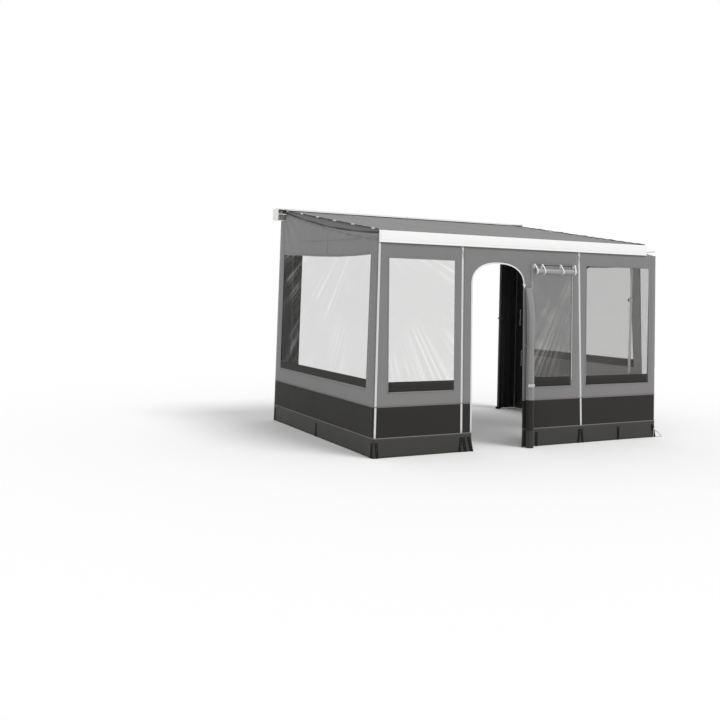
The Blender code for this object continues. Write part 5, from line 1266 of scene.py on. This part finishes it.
def roof_tape(name, side, off, width, rise, finish):
    """A raised tape along one side edge, which follows the cloth's folds."""
    points, edge = [], side * (HALF_RAIL - 0.012)
    for v in [ROOF_FRONT + 0.02 + (ROOF_RUN - 0.04) * n / HEM_STEPS for n in range(HEM_STEPS + 1)]:
        for share, lift in ((-1, 0), (0, rise), (1, 0)):
            u = edge + side * off + share * width / 2
            points.append(at_home(roof_place(u, v, OUTSIDE - lift - roof_folds(np.array(u), np.array(v)))))
    on_roof(thicken(new_piece(name, points, grid_faces(HEM_STEPS, 2), finish), TAPE_SKIN, -1))


def roof_clip(name, side, y, tall, finish):
    """A clip over the roof's edge, with soft edges and a waist in its middle."""
    mesh, rings = bmesh.new(), []
    for along, swell in CLIP_RINGS:
        ring = []
        for u, w in CLIP_PROFILE:
            lift = max(w, 0) * (0.55 + 0.45 * swell) * tall + min(w, 0)
            at = roof_place(side * HALF_RAIL + u * (0.8 + 0.2 * swell), y + along, -lift)
            ring.append(mesh.verts.new(at_home(at)))
        rings.append(ring)
    bridge(mesh, rings)
    clip = from_bmesh(name, mesh, finish, smooth=False)
    soft = clip.modifiers.new("edges", "BEVEL")
    soft.width, soft.segments, soft.limit_method = 0.0012, 2, "ANGLE"
    on_roof(clip)


stops = [0.02, *[-y for y in CLIP_STATIONS], PROJECTION - 0.02]
for number, (side, tall, finish) in enumerate(((-1, 1, CLIP_GREY), (1, 1.35, BLACK_PLASTIC))):
    roof_tape("roof_hem_%d" % number, side, 0.0, 0.022, 0.0008, ROOF_CLOTH)
    roof_tape("roof_stitch_%d" % number, side, -0.009, 0.0016, 0.0014, SEAM_THREAD)
    for n, y in enumerate(CLIP_STATIONS):
        roof_clip("roof_clip_%d_%d" % (number, n), side, y, tall, finish)
    for n, (near, far) in enumerate(zip(stops, stops[1:])):
        near, far = near + (CLIP_GAP if n else 0), far - (CLIP_GAP if n < len(stops) - 2 else 0)
        ys = [-near - (far - near) * k / BEAD_STEPS for k in range(BEAD_STEPS + 1)]
        path = [roof_place(side * (HALF_RAIL + 0.001), y, -0.004 - 0.0022 * math.sin(40 * y + n)) for y in ys]
        on_roof(round_cord("roof_bead_%d_%d" % (number, n), path, BEAD_THICK, HEM_BLACK, "cassette",
                           "roof_canopy"))
print(2 * len(CLIP_STATIONS), "clips and", 2 * (len(stops) - 1), "lengths of beading")

# %% [markdown]
# ## Frame finishes
# The rail, the cassette, the arms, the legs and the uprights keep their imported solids. Each gets the
# finish of its real material, and then the small parts that a plain solid lacks.

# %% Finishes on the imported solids
def finish_of(node):
    if node in ("lead_rail", "cassette_housing", "wall_mounting_rail", "winch_gearbox") or "arm" in node:
        return WHITE_COAT
    if "rail_cap" in node or "end_cap" in node:
        return WHITE_CAP
    if "knob" in node or "leg_hinge" in node or "leg_foot" in node:
        return BLACK_PLASTIC
    if "slider" in node or node == "corner_guy_hook" or "eye" in node:
        return BRIGHT_STEEL
    return DARK_METAL if "upright" in node else BARE_METAL


for node in NODES:
    for place in bpy.data.objects[node].material_slots:
        place.material = finish_of(node)
print(len(NODES), "solids finished")

# %% [markdown]
# ## Small parts of the frame
# A frame that is really made has screws in its caps, washers and pin heads at its pivots, collars
# where one tube slides in another, and a rubber shoe where a tube stands. Each is turned or lofted
# here and set on the solid it belongs to: a ray finds the face, so nothing floats or sinks in.

# %% Screws and pin heads
def body_under(node):
    return body_of(bpy.data.objects[node])[0]


def seat(node, at, normal):
    """Where a line along the normal, drawn from outside through a point, first meets a solid."""
    solid = bpy.data.objects[node]
    back = solid.matrix_world.inverted()
    start = at_home(at) + normal * 0.3
    found, where, _, _ = solid.ray_cast(back @ start, back.to_3x3() @ -normal)
    return (solid.matrix_world @ where, (start - solid.matrix_world @ where).length) if found else (None, 9.0)


def turned(name, nodes, at, normal, profile, finish, socket=0.0, sides=24):
    """A turned head on the outermost of some solids, from (radius, height) pairs; a hexagon may be sunk."""
    normal = Vector(normal).normalized()
    foot, _, node = min([(*seat(node, at, normal), node) for node in nodes], key=lambda found: found[1])
    across = normal.orthogonal().normalized()
    up = normal.cross(across)
    turns = [k * math.tau / sides for k in range(sides)]
    loops = [[(radius, height)] * sides for radius, height in profile]
    if socket:
        flat = socket * math.cos(math.pi / 6)
        reach = [flat / math.cos(turn % (math.pi / 3) - math.pi / 6) for turn in turns]
        loops += [[(r, profile[-1][1] - sink) for r in reach] for sink in (0, socket * 0.9)]
    ways = [across * math.cos(turn) + up * math.sin(turn) for turn in turns]
    mesh = bmesh.new()
    bridge(mesh, [[mesh.verts.new(foot + normal * height + way * radius)
                   for way, (radius, height) in zip(ways, loop)] for loop in loops])
    return settle(from_bmesh(name, mesh, finish, smooth=False), body_under(node), node)


def screw(radius):
    """A domed screw head: (radius, height) pairs."""
    return [(radius * wide, radius * high)
            for wide, high in ((1, 0), (1, 0.25), (0.93, 0.48), (0.75, 0.6), (0.55, 0.64))]


PIN = [(0.0085, 0), (0.0085, 0.0008), (0.0062, 0.0010), (0.0062, 0.0022), (0.0054, 0.0028), (0.003, 0.0029)]
SLOPE_UP = Vector((0, -0.15076, 0.98857))
CAP_SCREWS = [("end_cap", 1.86, y, z, 0.0045, 0.0019)
              for y, z in ((0.062, 2.602), (0.062, 2.520), (-0.022, 2.560))]
CAP_SCREWS += [("rail_cap", 1.75, -2.505, z, 0.0035, 0.0015) for z in (2.200, 2.134)]
WINCH_SCREWS = ((1.747, 2.4835), (1.773, 2.4638))
PIVOTS = (("shoulder", (1.5, -0.03, 2.535425), ("arm_shoulder", "upper_arm")),
          ("elbow", (1.2285, -1.2331, 2.3519), ("upper_arm", "forearm")),
          ("wrist", (1.5, -2.437, 2.168), ("forearm", "arm_wrist")))
count = 0
for side, label in SIDES:
    for cap, x, y, z, radius, socket in CAP_SCREWS:
        turned("screw_%s_%d" % (cap, count), ["%s_%s" % (label, cap)], (side * x, y, z), (side, 0, 0),
               screw(radius), BRIGHT_STEEL, socket)
        count += 1
    for title, (x, y, z), nodes in PIVOTS:
        turned("pin_%s_%s" % (title, label), [label + "_" + node for node in nodes], (side * x, y, z),
               -SLOPE_UP, PIN, BRIGHT_STEEL)
for n, (x, z) in enumerate(WINCH_SCREWS):
    turned("screw_winch_%d" % n, ["winch_gearbox"], (x, 0.035, z), (0, -1, 0), screw(0.0028), BRIGHT_STEEL,
           0.0012)
print(count, "cap screws,", len(WINCH_SCREWS), "winch screws and", 2 * len(PIVOTS), "pins")


# %% Collars, shoes, hooks and zip pulls
COLLAR_SIDES, COLLAR_LIP, COLLAR_SQUARE = 48, 0.0018, 0.22
HOOK = [(0, 0.016), (0.006, 0.016), (0.013, 0.012), (0.017, 0.004), (0.017, -0.004), (0.013, -0.012),
        (0.006, -0.016), (0.004, -0.016)]


def box_here(node):
    """The lowest and the highest corner of a solid's box, in the awning's own frame."""
    return [Vector(corner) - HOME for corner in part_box(node)]


def collar(name, node, low, high, grow, finish):
    """A rounded square sleeve round a square tube, with a rolled lip at both ends."""
    near, far = box_here(node)
    middle, half, mesh = (near + far) / 2, (far - near) / 2, bmesh.new()
    lip, inside, waist = COLLAR_LIP, 0.0002, grow - 0.0008
    rings = []
    for wide, z in ((inside, low), (grow - 0.001, low), (grow, low + lip), (waist, low + 2 * lip),
                    (waist, high - 2 * lip), (grow, high - lip), (grow - 0.001, high), (inside, high)):
        ring = []
        for c, s in circle(COLLAR_SIDES, 0.5):
            x = middle.x + (half.x + wide) * math.copysign(abs(c) ** COLLAR_SQUARE, c)
            y = middle.y + (half.y + wide) * math.copysign(abs(s) ** COLLAR_SQUARE, s)
            ring.append(mesh.verts.new(at_home((x, y, z))))
        rings.append(ring)
    bridge(mesh, rings + rings[:1], ends=False)
    return settle(from_bmesh(name, mesh, finish), body_under(node), node)


for side, label in SIDES:
    leg, upright, slider = label + "_leg_lower", label + "_upright_lower", label + "_zip_slider"
    collar("collar_leg_" + label, leg, 1.612, 1.6165, 0.0012, BLACK_PLASTIC)
    collar("collar_upright_" + label, upright, 1.284, 1.3015, 0.0016, BLACK_PLASTIC)
    collar("shoe_upright_" + label, upright, 0.0004, 0.028, 0.0022, BLACK_RUBBER)
    low, high = box_here(leg)
    face, y = (low.x if side > 0 else high.x), (low.y + high.y) / 2
    for n, z in enumerate((1.48, 1.33)):
        round_cord("hook_%s_%d" % (label, n), [(face - side * (out - 0.0006), y, z + up) for out, up in HOOK],
                   0.0019, BRIGHT_STEEL, body_under(leg), leg)
    low, high = box_here(slider)
    x, y = (low.x + high.x) / 2, low.y + 0.0018
    loop = [(x + 0.0042 * math.sin(turn), y, low.z - 0.018 + 0.020 * math.cos(turn))
            for turn in [math.tau * k / 24 for k in range(25)]]
    round_cord("zip_pull_" + label, loop, 0.0013, BRIGHT_STEEL, body_under(slider), slider)
beading = [front_place(-1.722 + 3.444 * n / 120, PLANE_TOP - 0.0042, -0.0019) for n in range(121)]
round_cord("front_wall_beading", beading, 0.0026, WALL_CLOTH, "rail", "front_middle_panel")
print("collars, shoes, hooks and zip pulls set")

# %% The cassette's wiper lip
LIP_HALF, LIP_STEPS, LIP_Y = 1.698, 120, -0.0208
LIP_SHAPE = [(0.0, 2.6305), (-0.0006, 2.6300), (-0.0012, 2.6200), (-0.0030, 2.6165), (-0.0030, 2.6150),
             (-0.0012, 2.6138), (0.0006, 2.6145), (0.0012, 2.6180), (0.0012, 2.6295)]
mesh = bmesh.new()
bridge(mesh, [[mesh.verts.new(at_home((-LIP_HALF + 2 * LIP_HALF * n / LIP_STEPS, LIP_Y + out, z)))
               for out, z in LIP_SHAPE] for n in range(LIP_STEPS + 1)])
wiper = from_bmesh("cassette_wiper_lip", mesh, WHITE_COAT, smooth=False)
settle(wiper, "cassette", "cassette_housing")
print("wiper lip", 2 * LIP_HALF, "m long")
